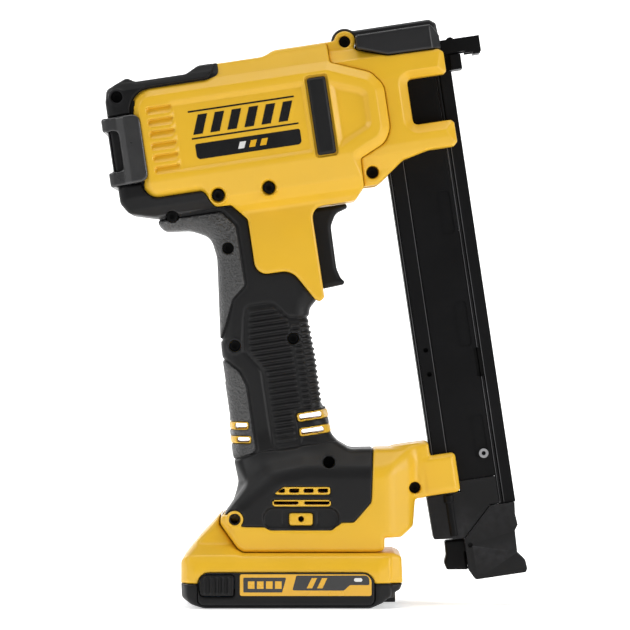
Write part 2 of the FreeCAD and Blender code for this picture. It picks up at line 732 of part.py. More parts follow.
def housing_screws():
    """All the screws that hold the two halves together."""
    head = [tilted(screw(f"head_screw_part_{i}", *place)) for i, place in enumerate(HEAD_SCREWS)]
    foot = [screw(f"foot_screw_part_{i}", *place) for i, place in enumerate(FOOT_SCREWS)]
    node("housing_screws", group("screw_group", head + foot))


def hook_inserts():
    """Threaded brass inserts for the belt hook, one each side of the foot."""
    inserts = []
    for side, direction in (("right", -1), ("left", 1)):
        length = 6.2
        bore = size("insert_bore")
        outer = size("insert_radius")
        profile = [(bore, 0), (outer, 0), (outer, length), (bore, length)]
        start = direction * (size("foot_half") - size("foot_skin")) - (length if direction > 0 else 0)
        place = (size("hook_across"), size("hook_up"))
        inserts.append(turned(f"insert_{side}", profile, "Y", start, place, UPRIGHT))
    node("hook_inserts", group("insert_group", inserts))


def trigger_group():
    """Trigger, its return spring and the switch it presses."""
    form = even_slab("trigger_form", TRIGGER, "trigger_half")
    socket = rod("trigger_socket", "X", (0, 172), 3.6, 19, 26)
    node("trigger", cut("trigger_whole", form, socket), TILT)
    spring("trigger_spring", "X", (0, 172), 12.4, 25.6, 3.2, 0.4, 6, TILT)
    case = even_block("switch_case", (-0.4, 10.8), "8", (168.6, 187))
    button = rod("switch_button", "X", (0, 180), 2.4, 10.8, 12.6)
    seat = rod("switch_seat", "X", (0, 172), 3.2, 10.8, 12.2)
    node("trigger_switch", fuse("switch_whole", case, button, seat), TILT)


def gear_outline(teeth, module, phase):
    """A spur gear: straight-flanked teeth with backlash, phase in degrees."""
    pitch_radius = teeth * module / 2
    tip = pitch_radius + 0.8 * module
    root = pitch_radius - 1.05 * module
    step = 360 / teeth
    points = []
    for tooth in range(teeth):
        middle = phase + tooth * step
        flank = [(root, -0.27), (tip, -0.12), (tip, 0.12), (root, 0.27)]
        for radius, share in flank:
            angle = math.radians(middle + share * step)
            points.append((radius * math.cos(angle), radius * math.sin(angle)))
    return points


def gear_at(name, centre, teeth, module, phase, start, end):
    """A spur gear across the tool, centred on its shaft."""
    outline = [(centre[0] + x, centre[1] + z) for x, z in gear_outline(teeth, module, phase)]
    return slab(name, outline, start, end)


def shaft_places():
    """Where the motor, idler and lifter shafts cross the parting plane."""
    motor = (size("motor_across"), size("motor_up"))
    fast_gap = size("fast_module") * (size("fast_pinion_teeth") + size("fast_gear_teeth")) / 2
    slow_gap = size("slow_module") * (size("slow_pinion_teeth") + size("slow_gear_teeth")) / 2
    fast_way = 12.0
    slow_way = 29.0
    idler = along(motor, fast_gap, fast_way)
    lifter = along(idler, slow_gap, slow_way)
    return motor, idler, lifter, fast_way, slow_way


def along(point, distance, degrees):
    """A point a distance away from another."""
    angle = math.radians(degrees)
    return (point[0] + distance * math.cos(angle), point[1] + distance * math.sin(angle))


def drive_train():
    """Motor, two spur stages and the lifter wheel that draws the driver back."""
    motor, idler, lifter, fast_way, slow_way = shaft_places()
    radius = size("motor_radius")
    can = [(2.4, 0), (5, 0), (5, 1.6), (radius, 1.6), (radius, 28), (6, 28), (6, 29.2), (2.4, 29.2)]
    node("motor_can", turned("can", can, "Y", -23.4, motor))
    shaft = rod("rotor_shaft_form", "Y", motor, 2.0, -22.5, 21)
    pinion_phase = fast_way + 180 / SIZES["fast_pinion_teeth"]
    pinion = gear_at(
        "rotor_pinion_form", motor, SIZES["fast_pinion_teeth"], size("fast_module"), pinion_phase, 16.2, 20.6
    )
    node("motor_rotor", fuse("rotor_whole", shaft, pinion), TILT)
    wheel = gear_at(
        "idler_gear_form", idler, SIZES["fast_gear_teeth"], size("fast_module"), fast_way + 180, 16.4, 20
    )
    slow_pinion_phase = slow_way + 180 / SIZES["slow_pinion_teeth"]
    slow_teeth = SIZES["slow_pinion_teeth"]
    slow_pinion = gear_at(
        "idler_pinion_form", idler, slow_teeth, size("slow_module"), slow_pinion_phase, 10, 16.4
    )
    idler_shaft = rod("idler_shaft_form", "Y", idler, 2.2, 6.3, 22.4)
    node("idler_gear", fuse("idler_whole", wheel, slow_pinion, idler_shaft), TILT)
    lifter_wheel = gear_at(
        "lifter_gear_form", lifter, SIZES["slow_gear_teeth"], size("slow_module"), slow_way + 180, 10.2, 15.4
    )
    lifter_bore = rod("lifter_gear_bore", "Y", lifter, "shaft_radius", 5, 20)
    node("lifter_gear", cut("lifter_gear_whole", lifter_wheel, lifter_bore), TILT)
    node("lifter_wheel", pin_wheel(lifter), TILT)
    node("lifter_shaft", rod("lifter_shaft_form", "Y", lifter, "shaft_radius", -11, 22), TILT)
    bearings = []
    for index, (start, end) in enumerate([(-9, -6), (6, 9)]):
        race = rod(f"bearing_race_{index}", "Y", lifter, "bearing_radius", start, end)
        hole = rod(f"bearing_hole_{index}", "Y", lifter, "shaft_radius + 0.03", start, end)
        bearings.append(cut(f"bearing_{index}", race, hole))
    node("lifter_bearings", group("bearing_group", bearings), TILT)
    drive_plates(motor, idler, lifter)


def pin_wheel(centre):
    """Two flanges with lifting pins between them on part of a circle."""
    flanges = [
        rod("lifter_flange_near", "Y", centre, "flange_radius", -4.6, -3.2),
        rod("lifter_flange_far", "Y", centre, "flange_radius", 3.2, 4.6),
    ]
    hub = rod("lifter_hub", "Y", centre, "shaft_radius + 2.5", -4.6, 4.6)
    pins = []
    for number in range(6):
        across, up = along(centre, size("pin_circle"), 180 + 36 * number)
        pins.append(rod(f"lifter_pin_{number}", "Y", (across, up), "pin_radius", -4, 4))
    wheel = fuse("lifter_wheel_form", hub, *flanges, *pins)
    return cut("lifter_wheel_whole", wheel, rod("lifter_wheel_bore", "Y", centre, "shaft_radius", -6, 6))


def drive_plates(motor, idler, lifter):
    """Steel side plates that carry the motor and the lifter's bearings."""
    left = [(-56, 211, 4), (-56, 242, 4), (-24, 246.4, 4), (10, 246.4, 4), (10, 228, 4), (-10, 211, 4)]
    right = [(-21, 226, 3), (-21, 246.4, 3), (10, 246.4, 3), (10, 226, 3)]
    near = cut(
        "plate_near",
        slab("plate_near_form", right, -9, -6),
        rod("plate_near_bore", "Y", lifter, "bearing_radius", -12, -4),
    )
    far = cut(
        "plate_far",
        slab("plate_far_form", left, 6, 9),
        rod("plate_far_bore", "Y", lifter, "bearing_radius", 4, 12),
        rod("plate_idler_bore", "Y", idler, 2.25, 4, 12),
        rod("plate_motor_bore", "Y", motor, 6.2, 4, 12),
    )
    post = rod("plate_post", "Y", (8, 229), 1.8, -6, 6)
    node("drive_plates", fuse("drive_plates_whole", near, far, post), TILT)


def driver():
    """Piston, driver blade and lifting rack, with the spring behind and the buffer in front."""
    axis_up = size("piston_height")
    radius = size("piston_radius")
    head = rod("piston_form", "X", (0, axis_up), radius, -21, -11)
    nose = rod("piston_front", "X", (0, axis_up), radius - 2.5, -11, -8.5)
    wheel_slot = even_block("piston_wheel_slot", (-22, -8), 5.3, (240, 254.2))
    piston = cut("piston_slotted", fuse("piston_round", head, nose), wheel_slot)
    node("driver_piston", fuse("piston_whole", piston, rack()), TILT)
    coil_start = -50.8
    coil_end = -21.2
    wire = size("main_spring_wire")
    spring("main_spring", "X", (0, axis_up), coil_start, coil_end, radius - 0.2, wire, 8, TILT)
    guide = [(0, 0), (radius, 0), (radius, 3), (5.6, 3), (5.6, 29.5), (4.6, 30.5), (0, 30.5)]
    node("spring_guide", turned("guide", guide, "X", -54, (0, axis_up)))
    buffer_form = even_block("buffer_form", (28, 33), "11", (246.5, 266.8))
    buffer_slot = even_block("buffer_slot", (20, 40), "blade_half + 0.5", (253.5, 263))
    node("driver_buffer", cut("buffer_whole", buffer_form, buffer_slot), TILT)


def rack():
    """The blade with the lifting teeth on its underside."""
    low = "drive_height - blade_thick / 2"
    high = "drive_height + blade_thick / 2"
    blade = even_block("blade_form", (-12, 76), "blade_half", (low, high))
    spine = even_block("rack_spine", (-12, 25), "2.2", (257, low))
    step = 2 * math.pi * size("pin_circle") / 10
    teeth = []
    for number in range(4):
        span = (-7 + number * step, -4.4 + number * step)
        teeth.append(even_block(f"rack_tooth_{number}", span, "2.2", ("rack_bottom", 257.5)))
    return fuse("rack_form", blade, spine, *teeth)


def nose_group():
    """Nose block, contact trip with its springs, and depth wheel."""
    upper = even_block("nose_block_upper", (97.5, 110.2), "nose_block_half", (257.6, 265.9))
    lower = even_block("nose_block_lower", (105.6, 110.9), "9", (250.6, 258))
    link = even_block("nose_block_link", (97.5, 108), "nose_block_half", (250.6, 258))
    block_form = cut(
        "nose_block_whole",
        fuse("nose_block_form", upper, lower, link),
        even_block("staple_space", (97, 104.2), "staple_half + 0.4", (250, 262.6)),
        even_block("staple_channel", (97, 114), "staple_half + 0.4", (260.2, 262.6)),
        even_block("depth_wheel_space", (104.2, 109.8), "3.3", (262.6, 270)),
    )
    axle = rod("depth_wheel_axle", "Y", DEPTH_WHEEL_AT, "depth_axle_radius", -3.6, 3.6)
    node("nose_block", fuse("nose_block_with_axle", block_form, axle), TILT)
    arms = [
        block(f"trip_arm_{index}", (98.5, 121.3), deep, (259, 265.8))
        for index, deep in enumerate([("-trip_half", -6.6), (6.6, "trip_half")])
    ]
    shoe = even_slab(
        "trip_shoe", [(117.2, 257), (120.6, 257), (121.3, 258.4), (121.3, 265.8), (117.2, 265.8)], "trip_half"
    )
    side_trim = [
        block(f"trip_side_{index}", (113.3, 121.3), deep, (258, 265.8))
        for index, deep in enumerate([("-trip_half", -6.6), (6.6, "trip_half")])
    ]
    trip = cut(
        "trip_whole",
        fuse("trip_form", shoe, *arms, *side_trim),
        even_block("trip_mouth", (110, 125), "staple_half + 0.6", (259.4, 263.4)),
    )
    node("contact_trip", trip, TILT)
    coils = [
        wound(f"trip_coil_{side}", "X", (across, 262), 86, 98.3, 1.4, 0.25, 9, TILT)
        for side, across in (("right", -7.8), ("left", 7.8))
    ]
    node("trip_springs", group("trip_coil_group", coils))
    depth_wheel()


def depth_wheel():
    """Knurled thumbwheel that sets how deep the staple goes."""
    radius = size("depth_wheel_radius")
    body, sketch = body_with_sketch("depth_wheel_body", "XZ_Plane", wheel_outline(radius, 16))
    bore = sketch.addGeometry(Part.Circle(Vector(0, 0, 0), Vector(0, 0, 1), size("depth_axle_radius") + 0.1))
    sketch.addConstraint(Sketcher.Constraint("Radius", bore, size("depth_axle_radius") + 0.1))
    pad = body.newObject("PartDesign::Pad", "depth_wheel_pad")
    pad.Profile = sketch
    pad.Midplane = True
    pad.Length = 6
    across, up = DEPTH_WHEEL_AT
    body.Placement = TILT * Placement(Vector(across, 0, up), Rotation())
    body.Label = "depth_wheel"
    NODES.append(body)


def wheel_outline(radius, ridges):
    """A circle of shallow ridges."""
    points = []
    for number in range(ridges * 2):
        angle = math.pi * number / ridges
        reach = radius if number % 2 == 0 else radius * 0.9
        points.append((reach * math.cos(angle), reach * math.sin(angle)))
    return points


def magazine():
    """Fixed magazine channel with its pressed slots, the bracket under it and the staples."""
    outer = even_block("channel_form", (67, 97.2), "magazine_half", (50, 256))
    parts_out = [
        even_block("channel_bore", (76.4, 98), "magazine_bore_half", (40, 260)),
        even_block("channel_spine_slot", (69.6, 73.4), "magazine_half - 3.5", (40, 260)),
    ]
    for index, (low, high) in enumerate([(171, 192.5), (115, 137.5), (60, 81)]):
        parts_out.append(pressed_slot(f"pressed_slot_{index}", low, high))
    for index, across in enumerate([68.2, 75.3]):
        parts_out.append(side_groove(f"channel_groove_{index}", across, 0.7))
    parts_out.append(even_block("jam_window", (94.6, 98), "magazine_half + 1", (99.5, 113.5)))
    for index, up in enumerate([104, 116]):
        parts_out.append(rod(f"channel_pin_hole_{index}", "Y", (72.5, up), 1.2, -12, 12))
    parts_out.append(rod("channel_screw_hole", "Y", CHANNEL_SCREW, 2.32, -12, 12))
    node("magazine_channel", cut("channel_whole", outer, *parts_out), TILT)
    bracket = cut(
        "bracket_whole",
        even_slab("bracket_form", BRACKET, "bracket_half"),
        even_block("bracket_bore", (76.4, 98), "magazine_bore_half", (20, 60)),
        even_block("bracket_slot", (70, 75.5), "bracket_half - 2", (10, 40)),
    )
    node("magazine_bracket", bracket, TILT)
    stick = [
        (77, -4.6), (101.5, -4.6), (101.5, -3.3), (78.4, -3.3),
        (78.4, 3.3), (101.5, 3.3), (101.5, 4.6), (77, 4.6),
    ]
    node("staple_stick", plate("stick_form", stick, "stick_low", "stick_high"), TILT)
    screws = []
    ends = {"right": [(-11.2, -8.3), (-11.3, -10.2)], "left": [(8.3, 11.2), (10.2, 11.3)]}
    for side, (length, depth) in ends.items():
        pin = rod(f"channel_screw_{side}", "Y", CHANNEL_SCREW, 2.3, *length)
        socket = rod(f"channel_screw_socket_{side}", "Y", CHANNEL_SCREW, 1.1, *depth)
        screws.append(cut(f"channel_screw_part_{side}", pin, socket))
    node("magazine_screws", group("channel_screw_group", screws), TILT)


def pressed_slot(name, low, high):
    """A shallow slot pressed into both sides of the magazine channel."""
    outline = [(89, low, 2), (95.5, low, 2), (95.5, high, 2), (89, high, 2)]
    return cut(name, even_slab(name + "_form", outline, "magazine_half + 1"), core_block(name + "_core"))


def side_groove(name, across, wide):
    """A groove along both sides of the magazine channel."""
    form = even_block(name + "_form", (across, across + wide), "magazine_half + 1", (40, 260))
    return cut(name, form, core_block(name + "_core"))


def core_block(name):
    """The part of the channel that a shallow mark doesn't reach."""
    return even_block(name, (60, 110), "magazine_half - 0.6", (0, 270))


def magazine_slide():
    """The part that draws down to load: front cover, guide rod, end block, latch and pusher."""
    cover = cut(
        "cover_channel_whole",
        even_block("cover_channel_form", (97.5, 105.2), "magazine_half", (35.9, 250.2)),
        even_block("cover_channel_bore", (97, 103.6), "magazine_bore_half", (30, 260)),
        cut(
            "cover_channel_groove",
            even_block("cover_groove_form", (98.8, 99.4), "magazine_half + 1", (30, 260)),
            core_block("cover_groove_core"),
        ),
        even_block("cover_jam_window", (97, 99.4), "magazine_half + 1", (99.5, 113.5)),
    )
    node("magazine_cover", cover, TILT)
    pocket = even_block("end_block_pocket", (77, 86), "lever_half + 0.4", (3, 21.3))
    pin_bore = rod("end_block_pin_bore", "Y", LATCH_PIN, 1.25, -13, 13)
    rod_bore = rod("end_block_rod_bore", "Z", GUIDE_ROD, "rod_radius", 8, 40)
    form = even_slab("end_block_form", END_BLOCK, "end_block_half")
    node("magazine_end_block", cut("end_block_whole", form, pocket, pin_bore, rod_bore), TILT)
    node("guide_rod", rod("guide_rod_form", "Z", GUIDE_ROD, "rod_radius", 8, 235), TILT)
    node("latch_pin", rod("latch_pin_form", "Y", LATCH_PIN, 1.25, -10.5, 10.5), TILT)
    lever_bore = rod("lever_bore", "Y", LATCH_PIN, 1.32, -10, 10)
    spring_seat = rod("lever_spring_seat", "X", (0, 9.6), 2.6, 73.8, 80)
    lever = even_slab("lever_form", LEVER, "lever_half")
    node("latch_lever", cut("lever_whole", lever, lever_bore, spring_seat), TILT)
    spring("latch_spring", "X", (0, 9.6), 74, 85.8, 2.3, 0.3, 7, TILT)
    pusher_low = "stick_low - 0.3 - pusher_long"
    pusher = cut(
        "pusher_whole",
        even_block("pusher_form", (77, 101.5), "staple_half", (pusher_low, "stick_low - 0.3")),
        rod("pusher_bore", "Z", GUIDE_ROD, "rod_radius + 0.06", 120, 200),
    )
    node("pusher", pusher, TILT)
    spring("pusher_spring", "Z", GUIDE_ROD, 36.4, 160, 4.2, 0.45, 26, TILT)


def control_group():
    """Control board and the terminal block that meets the battery."""
    node("control_board", even_block("board_form", (-24, 18), "19", (46, 47.6)))
    base = even_block("terminal_base", (27.3, 31.2), "19", (33, 41.6))
    blades = [
        block(f"terminal_blade_{index}", (8, 27.3), (across - 0.4, across + 0.4), (34.6, 39))
        for index, across in enumerate(CONTACTS)
    ]
    node("terminal_block", fuse("terminal_whole", base, *blades))


def battery_form(name, low, high, outline):
    """The battery's rounded outside between two heights."""
    return common(
        name,
        even_slab(name + "_side", outline, "battery_half"),
        bar(name + "_section", mirrored_section([], BATTERY_SECTION), "-70", "50"),
        even_block(name + "_heights", (-80, 60), "60", (low, high)),
    )


def battery():
    """Slide-on battery: case, rails, cells, contacts and two release buttons."""
    hollow = even_block("case_hollow", (-61.8, 39.6), "battery_half - wall", (2.4, 23))
    port = (grown(BUTTON, 0.35), "battery_half - 8", "battery_half + 4")
    seat = fuse("panel_seats", *panel_pair("panel_seat", BATTERY_PANEL, "battery_half - 1.6", "battery_half + 3"))
    ports = fuse("button_ports", *panel_pair("button_port", *port))
    slots = [
        block(f"contact_slot_{index}", (3, 30), (across - 1, across + 1), (33.8, 39.8))
        for index, across in enumerate(CONTACTS)
    ]
    neck = even_block("rail_neck", (-44, 26.6), "rail_neck_half", (24, 33.4))
    head = even_block("rail_head", (-44, 26.6), "rail_head_half", (33.2, 41))
    tower_hollow = even_block("tower_hollow", (-36, -2), "14", (20, 38.6))
    upper = cut(
        "battery_upper",
        fuse("battery_upper_form", battery_form("battery_shell", 12, 60, BATTERY), neck, head),
        hollow, seat, ports, tower_hollow, *slots,
    )
    node("battery_cover", upper)
    tray = battery_form("battery_tray", -1, 12, BATTERY_BASE)
    node("battery_base", cut("battery_lower", tray, hollow, seat, ports))
    panels = panel_pair("panel", BATTERY_PANEL, "battery_half - 1.6", "battery_panel_face")
    labels = panel_pair("label", BATTERY_LABEL, "battery_panel_face", "battery_label_face")
    buttons = panel_pair("button", BUTTON, "battery_half - 2.1", "button_face")
    node("battery_labels", group("label_group", labels))
    for side, panel, button in zip(("right", "left"), panels, buttons):
        node(f"battery_panel_{side}", cut(f"panel_{side}_whole", panel, *panel_pair(f"panel_port_{side}", *port)))
        node(f"release_button_{side}", button)
    for side, start in (("right", -35.3), ("left", 32.6)):
        spring(f"release_spring_{side}", "Y", (-47.5, 11.4), start, start + 2.7, 2.4, 0.3, 2.5, UPRIGHT)
    cells()
    board = even_block("battery_board_form", (-34, -4), "13", (27.5, 29))
    node("battery_board", board)
    clips = [
        block(f"contact_clip_{index}", (3.2, 6.6), (across - 0.8, across + 0.8), (34.2, 39.2))
        for index, across in enumerate(CONTACTS)
    ]
    node("battery_contacts", group("contact_group", clips))


def grown(outline, extra):
    """An outline about its own middle, larger by the same amount all round."""
    across = [point[0] for point in outline]
    up = [point[1] for point in outline]
    middle = ((min(across) + max(across)) / 2, (min(up) + max(up)) / 2)
    return [
        (x + math.copysign(extra, x - middle[0]), z + math.copysign(extra, z - middle[1]), radius)
        for x, z, radius in outline
    ]


def panel_pair(name, outline, inner, outer):
    """The same plate on the right and on the left of the battery."""
    return [
        slab(name + "_near", outline, f"-({outer})", f"-({inner})"),
        slab(name + "_far", outline, inner, outer),
    ]


def cells():
    """Five cells across the battery, and the two combs that hold them."""
    places = [-10 + size("cell_pitch") * number for number in range(-2, 3)]
    tubes = [
        rod(f"cell_{index}", "Y", (place, "cell_height"), "cell_radius", "-cell_long / 2", "cell_long / 2")
        for index, place in enumerate(places)
    ]
    node("battery_cells", group("cell_group", tubes))
    combs = []
    for index, (start, end) in enumerate([(-26, -20), (20, 26)]):
        comb = block(f"comb_form_{index}", (-59.5, 39.2), (start, end), (2.5, "cell_height - 0.2"))
        beds = []
        for number, place in enumerate(places):
            bed_at = (place, "cell_height")
            beds.append(rod(f"comb_bed_{index}_{number}", "Y", bed_at, "cell_radius + 0.05", start - 1, end + 1))
        combs.append(cut(f"comb_{index}", comb, *beds))
    node("cell_combs", group("comb_group", combs))


def check_and_export():
    """Stop on any failed feature or shape, then write one STEP file for each sub-part."""
    doc.recompute()
    failed = [item.Name for item in doc.Objects if {"Invalid", "Error"} & set(item.State)]
    for item in NODES:
        if item.Shape.isNull() or not item.Shape.isValid():
            failed.append(item.Label)
    if failed:
        raise RuntimeError("failed: " + ", ".join(failed))
    os.makedirs("parts", exist_ok=True)
    for item in NODES:
        item.Shape.exportStep(f"parts/{item.Label}.step")


housing()
grip_overmould()
nose_housing()
rear_cap()
rear_bumper()
top_cover()
side_pads()
housing_screws()
hook_inserts()
trigger_group()
drive_train()
driver()
nose_group()
magazine()
magazine_slide()
control_group()
battery()
check_and_export()
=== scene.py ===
"""Looks of the cordless cable stapler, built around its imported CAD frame.

Moulded parts are drawn as fields of distances: outlines seen from the side, widths that
follow the height, and small reliefs. Each field is skinned into a mesh. Lengths are in
millimetres in two drawing frames, upright (X, Z) and tool (u along the drive axis, w up the
magazine), and "out" is the distance from the parting plane.
"""
import json
import math

import bpy
import numpy as np
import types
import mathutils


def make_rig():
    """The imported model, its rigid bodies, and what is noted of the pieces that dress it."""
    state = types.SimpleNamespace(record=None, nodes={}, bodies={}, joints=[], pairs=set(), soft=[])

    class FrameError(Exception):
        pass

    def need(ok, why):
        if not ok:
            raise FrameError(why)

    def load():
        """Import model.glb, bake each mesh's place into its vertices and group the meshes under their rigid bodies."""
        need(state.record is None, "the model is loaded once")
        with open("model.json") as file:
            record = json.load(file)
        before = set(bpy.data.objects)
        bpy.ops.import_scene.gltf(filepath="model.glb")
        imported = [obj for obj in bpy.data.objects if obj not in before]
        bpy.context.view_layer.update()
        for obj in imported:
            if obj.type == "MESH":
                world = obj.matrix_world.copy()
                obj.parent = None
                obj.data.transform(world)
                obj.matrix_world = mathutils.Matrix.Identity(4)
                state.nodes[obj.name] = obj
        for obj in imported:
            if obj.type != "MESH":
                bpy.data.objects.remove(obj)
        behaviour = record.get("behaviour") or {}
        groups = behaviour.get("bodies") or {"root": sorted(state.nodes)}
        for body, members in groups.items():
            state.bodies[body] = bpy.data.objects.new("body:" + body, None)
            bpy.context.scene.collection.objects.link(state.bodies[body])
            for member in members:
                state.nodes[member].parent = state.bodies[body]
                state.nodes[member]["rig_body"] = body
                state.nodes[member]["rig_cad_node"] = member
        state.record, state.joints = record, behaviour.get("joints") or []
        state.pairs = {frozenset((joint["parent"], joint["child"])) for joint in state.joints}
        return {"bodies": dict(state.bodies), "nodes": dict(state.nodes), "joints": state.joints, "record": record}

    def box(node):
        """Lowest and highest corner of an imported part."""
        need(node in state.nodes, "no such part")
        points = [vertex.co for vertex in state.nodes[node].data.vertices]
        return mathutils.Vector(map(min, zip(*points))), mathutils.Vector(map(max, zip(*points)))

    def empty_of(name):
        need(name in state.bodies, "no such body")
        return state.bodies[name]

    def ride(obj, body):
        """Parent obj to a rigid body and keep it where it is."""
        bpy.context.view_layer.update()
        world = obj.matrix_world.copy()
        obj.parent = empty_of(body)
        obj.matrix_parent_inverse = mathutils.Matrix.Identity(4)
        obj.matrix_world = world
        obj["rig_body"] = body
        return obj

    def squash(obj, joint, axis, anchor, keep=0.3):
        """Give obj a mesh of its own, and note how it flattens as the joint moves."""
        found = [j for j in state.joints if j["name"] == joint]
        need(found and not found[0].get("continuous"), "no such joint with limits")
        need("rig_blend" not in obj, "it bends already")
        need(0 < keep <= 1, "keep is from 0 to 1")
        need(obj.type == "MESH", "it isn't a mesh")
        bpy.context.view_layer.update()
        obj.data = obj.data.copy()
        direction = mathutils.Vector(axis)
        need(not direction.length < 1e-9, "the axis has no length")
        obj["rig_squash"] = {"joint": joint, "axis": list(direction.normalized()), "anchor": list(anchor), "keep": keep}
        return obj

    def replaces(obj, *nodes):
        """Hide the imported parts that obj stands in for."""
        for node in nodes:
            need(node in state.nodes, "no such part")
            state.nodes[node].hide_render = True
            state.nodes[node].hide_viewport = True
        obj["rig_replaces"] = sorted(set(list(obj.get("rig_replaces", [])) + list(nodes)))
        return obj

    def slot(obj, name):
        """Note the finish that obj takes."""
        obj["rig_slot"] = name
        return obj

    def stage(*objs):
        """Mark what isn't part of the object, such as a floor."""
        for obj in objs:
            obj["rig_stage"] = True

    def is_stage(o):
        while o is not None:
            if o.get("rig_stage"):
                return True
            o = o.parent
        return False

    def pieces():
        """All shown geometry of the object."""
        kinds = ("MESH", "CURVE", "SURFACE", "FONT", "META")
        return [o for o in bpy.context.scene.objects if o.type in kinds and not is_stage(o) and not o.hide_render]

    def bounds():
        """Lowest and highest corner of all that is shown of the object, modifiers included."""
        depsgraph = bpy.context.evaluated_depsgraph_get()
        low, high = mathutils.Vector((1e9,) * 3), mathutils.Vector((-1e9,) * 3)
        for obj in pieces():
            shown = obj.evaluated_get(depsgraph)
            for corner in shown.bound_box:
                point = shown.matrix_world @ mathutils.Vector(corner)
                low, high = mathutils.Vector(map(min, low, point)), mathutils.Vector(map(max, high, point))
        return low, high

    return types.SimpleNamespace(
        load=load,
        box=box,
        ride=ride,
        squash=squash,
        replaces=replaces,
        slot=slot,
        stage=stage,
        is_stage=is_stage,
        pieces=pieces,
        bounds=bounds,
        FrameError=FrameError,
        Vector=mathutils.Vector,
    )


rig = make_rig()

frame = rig.load()
with open("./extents.json", "w") as report:
    json.dump({"cad": [list(corner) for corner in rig.bounds()]}, report)

MM = 0.001
SCENE = bpy.context.scene
NODES = frame["nodes"]
BODY_OF = {n: b for b, group in frame["record"]["behaviour"]["bodies"].items() for n in group}
SLOT_OF = {part["node"]: part["material_slot"] for part in frame["record"]["subparts"]}
DRIVE = next(j for j in frame["joints"] if j["name"] == "driver_stroke")["axis"]
TILT = math.atan2(DRIVE[2], DRIVE[0])
COS, SIN = math.cos(TILT), math.sin(TILT)
SIDES = ("right", "left")
TRAVEL = {j["name"]: max(map(abs, j["range_m"])) / MM for j in frame["joints"] if j["type"] == "slide"}


def half(node):
    """How far a CAD node reaches from the parting plane, in millimetres."""
    low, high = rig.box(node)
    return max(abs(low.y), abs(high.y)) / MM


def box(left, right, low, high, *radii):
    """A rectangle's outline, with one corner radius or four; 0 leaves a corner sharp."""
    corners = [(left, low), (right, low), (right, high), (left, high)]
    radii = radii if len(radii) == 4 else (radii or (0,)) * 4
    return [(*corner, radius) if radius else corner for corner, radius in zip(corners, radii)]


def disc(centre, radius):
    """A circle's outline."""
    across, up = centre
    return box(across - radius, across + radius, up - radius, up + radius, radius)


def slanted(left, wide, low, high, lean):
    """The outline of a bar whose top is shifted forward by the lean."""
    return [(left, low), (left + wide, low), (left + wide + lean, high), (left + lean, high)]


BARREL_HALF = half("housing_right")
NOSE_HALF = half("nose_housing_right")
CAP_HALF = half("rear_cap_right")
COVER_HALF = half("nose_top_cover")
TRIGGER_HALF = half("trigger")
BATTERY_HALF = half("battery_cover")
PANEL_FACE = half("battery_panel_right")
LABEL_FACE = half("battery_labels")
BUTTON_FACE = half("release_button_right")
GRIP_HALF = 17.0
FOOT_HALF = 30.0
ARM_HALF = 16.0
CHANNEL = 10.4
PANEL_DEPTH = 1.5
SKIN = 2.4
SKIN_JOIN = 78.2
RIB_PITCH = 2.8
# How far the latch lever, which turns, pushes its spring.
LEVER_PUSH = 1.6

# ---------------------------------------------------------------- outlines, tool frame

BARREL = [
    (-10, 270.5), (15, 270.5, 20), (19.5, 273.2, 8), (46.5, 273.2), (46.5, 262.3, 1.5),
    (65.5, 254.6, 9), (70.9, 247.5, 9), (70.9, 226, 9), (67.5, 219.6, 9), (54.4, 213.6, 1.5),
    (54.2, 199.8, 1), (48.8, 193.8, 3), (27, 193.8, 5.5), (27, 149, 1.5),
    (24.5, 147.4, 1), (22.4, 148.6, 1), (13, 164.7, 9), (-4.5, 164.7, 6),
    (-4.5, 192.5, 3), (-11.5, 200.6, 2), (-19.5, 200.8, 3), (-24, 209.3, 3), (-49, 209.3, 9),
    (-53.2, 214.5, 6), (-53.6, 263, 11), (-14, 263.2, 2), (-10.6, 266.5, 1),
]
BARREL_WIDTH = [
    (146, 19), (196, 19, 3), (199.5, 23, 3), (205, 27.5, 3), (217, 31, 1), (258.5, 31, 0.8),
    (263.2, 26.5, 1), (271, 17), (274, 12),
]
CAVITY = [
    (-62, 206, 3), (-62, 258, 3), (-55, 266.4, 3), (12, 267.2), (19, 270), (43.4, 270),
    (43.4, 260.5, 1), (63.6, 252, 3), (67.8, 245, 3), (67.8, 226, 3), (65.5, 222, 2),
    (51.6, 216, 1), (51.4, 203, 1), (46, 197), (24, 197), (24, 188), (11.5, 188), (11.5, 168),
    (-1, 168), (-1, 194), (-10, 204), (-18, 204), (-23, 206),
]
CAVITY_WIDTH = [
    (160, 16.2), (197, 16.2), (202, 20.5), (207, 25), (217.5, 27.6), (257, 27.6), (261.5, 24),
    (269, 14.5), (271, 10),
]
FACE_PANEL = box(-34.5, 33, 219.4, 254.8, 2, 1, 1, 2)
PAD_SEAT = box(33, 44.2, 217, 257, 1.6)
PAD = box(34, 43.2, 217.9, 255.9, 1.3)
FRONT_PANEL = [
    (44.4, 253.4), (60, 247.4, 1.5), (62.6, 244.6, 1.5), (62.6, 230.2, 1.5), (60.8, 227.2, 1.5),
    (44.4, 219.4),
]
TRIGGER_SLOT = [(11.4, 194.1), (36, 194.1), (36, 192), (28, 150.5), (20, 152.5), (11.4, 160)]
NOSE = [
    (44.5, 273), (56, 273), (60.4, 266.8), (75, 261.6, 4), (100, 261.2), (102.3, 259.4),
    (102.3, 250), (101, 248.8), (82.5, 248.8, 2.5), (82.5, 226, 2.5), (101, 226), (102.5, 224.5),
    (102.5, 214.8), (100.6, 213), (88, 213, 8), (75, 210, 6), (66, 203.5, 6), (60, 199.9, 3),
    (52.2, 199.9), (52.2, 215), (64, 221), (68.5, 225), (68.5, 245), (64, 252), (44.5, 260),
]
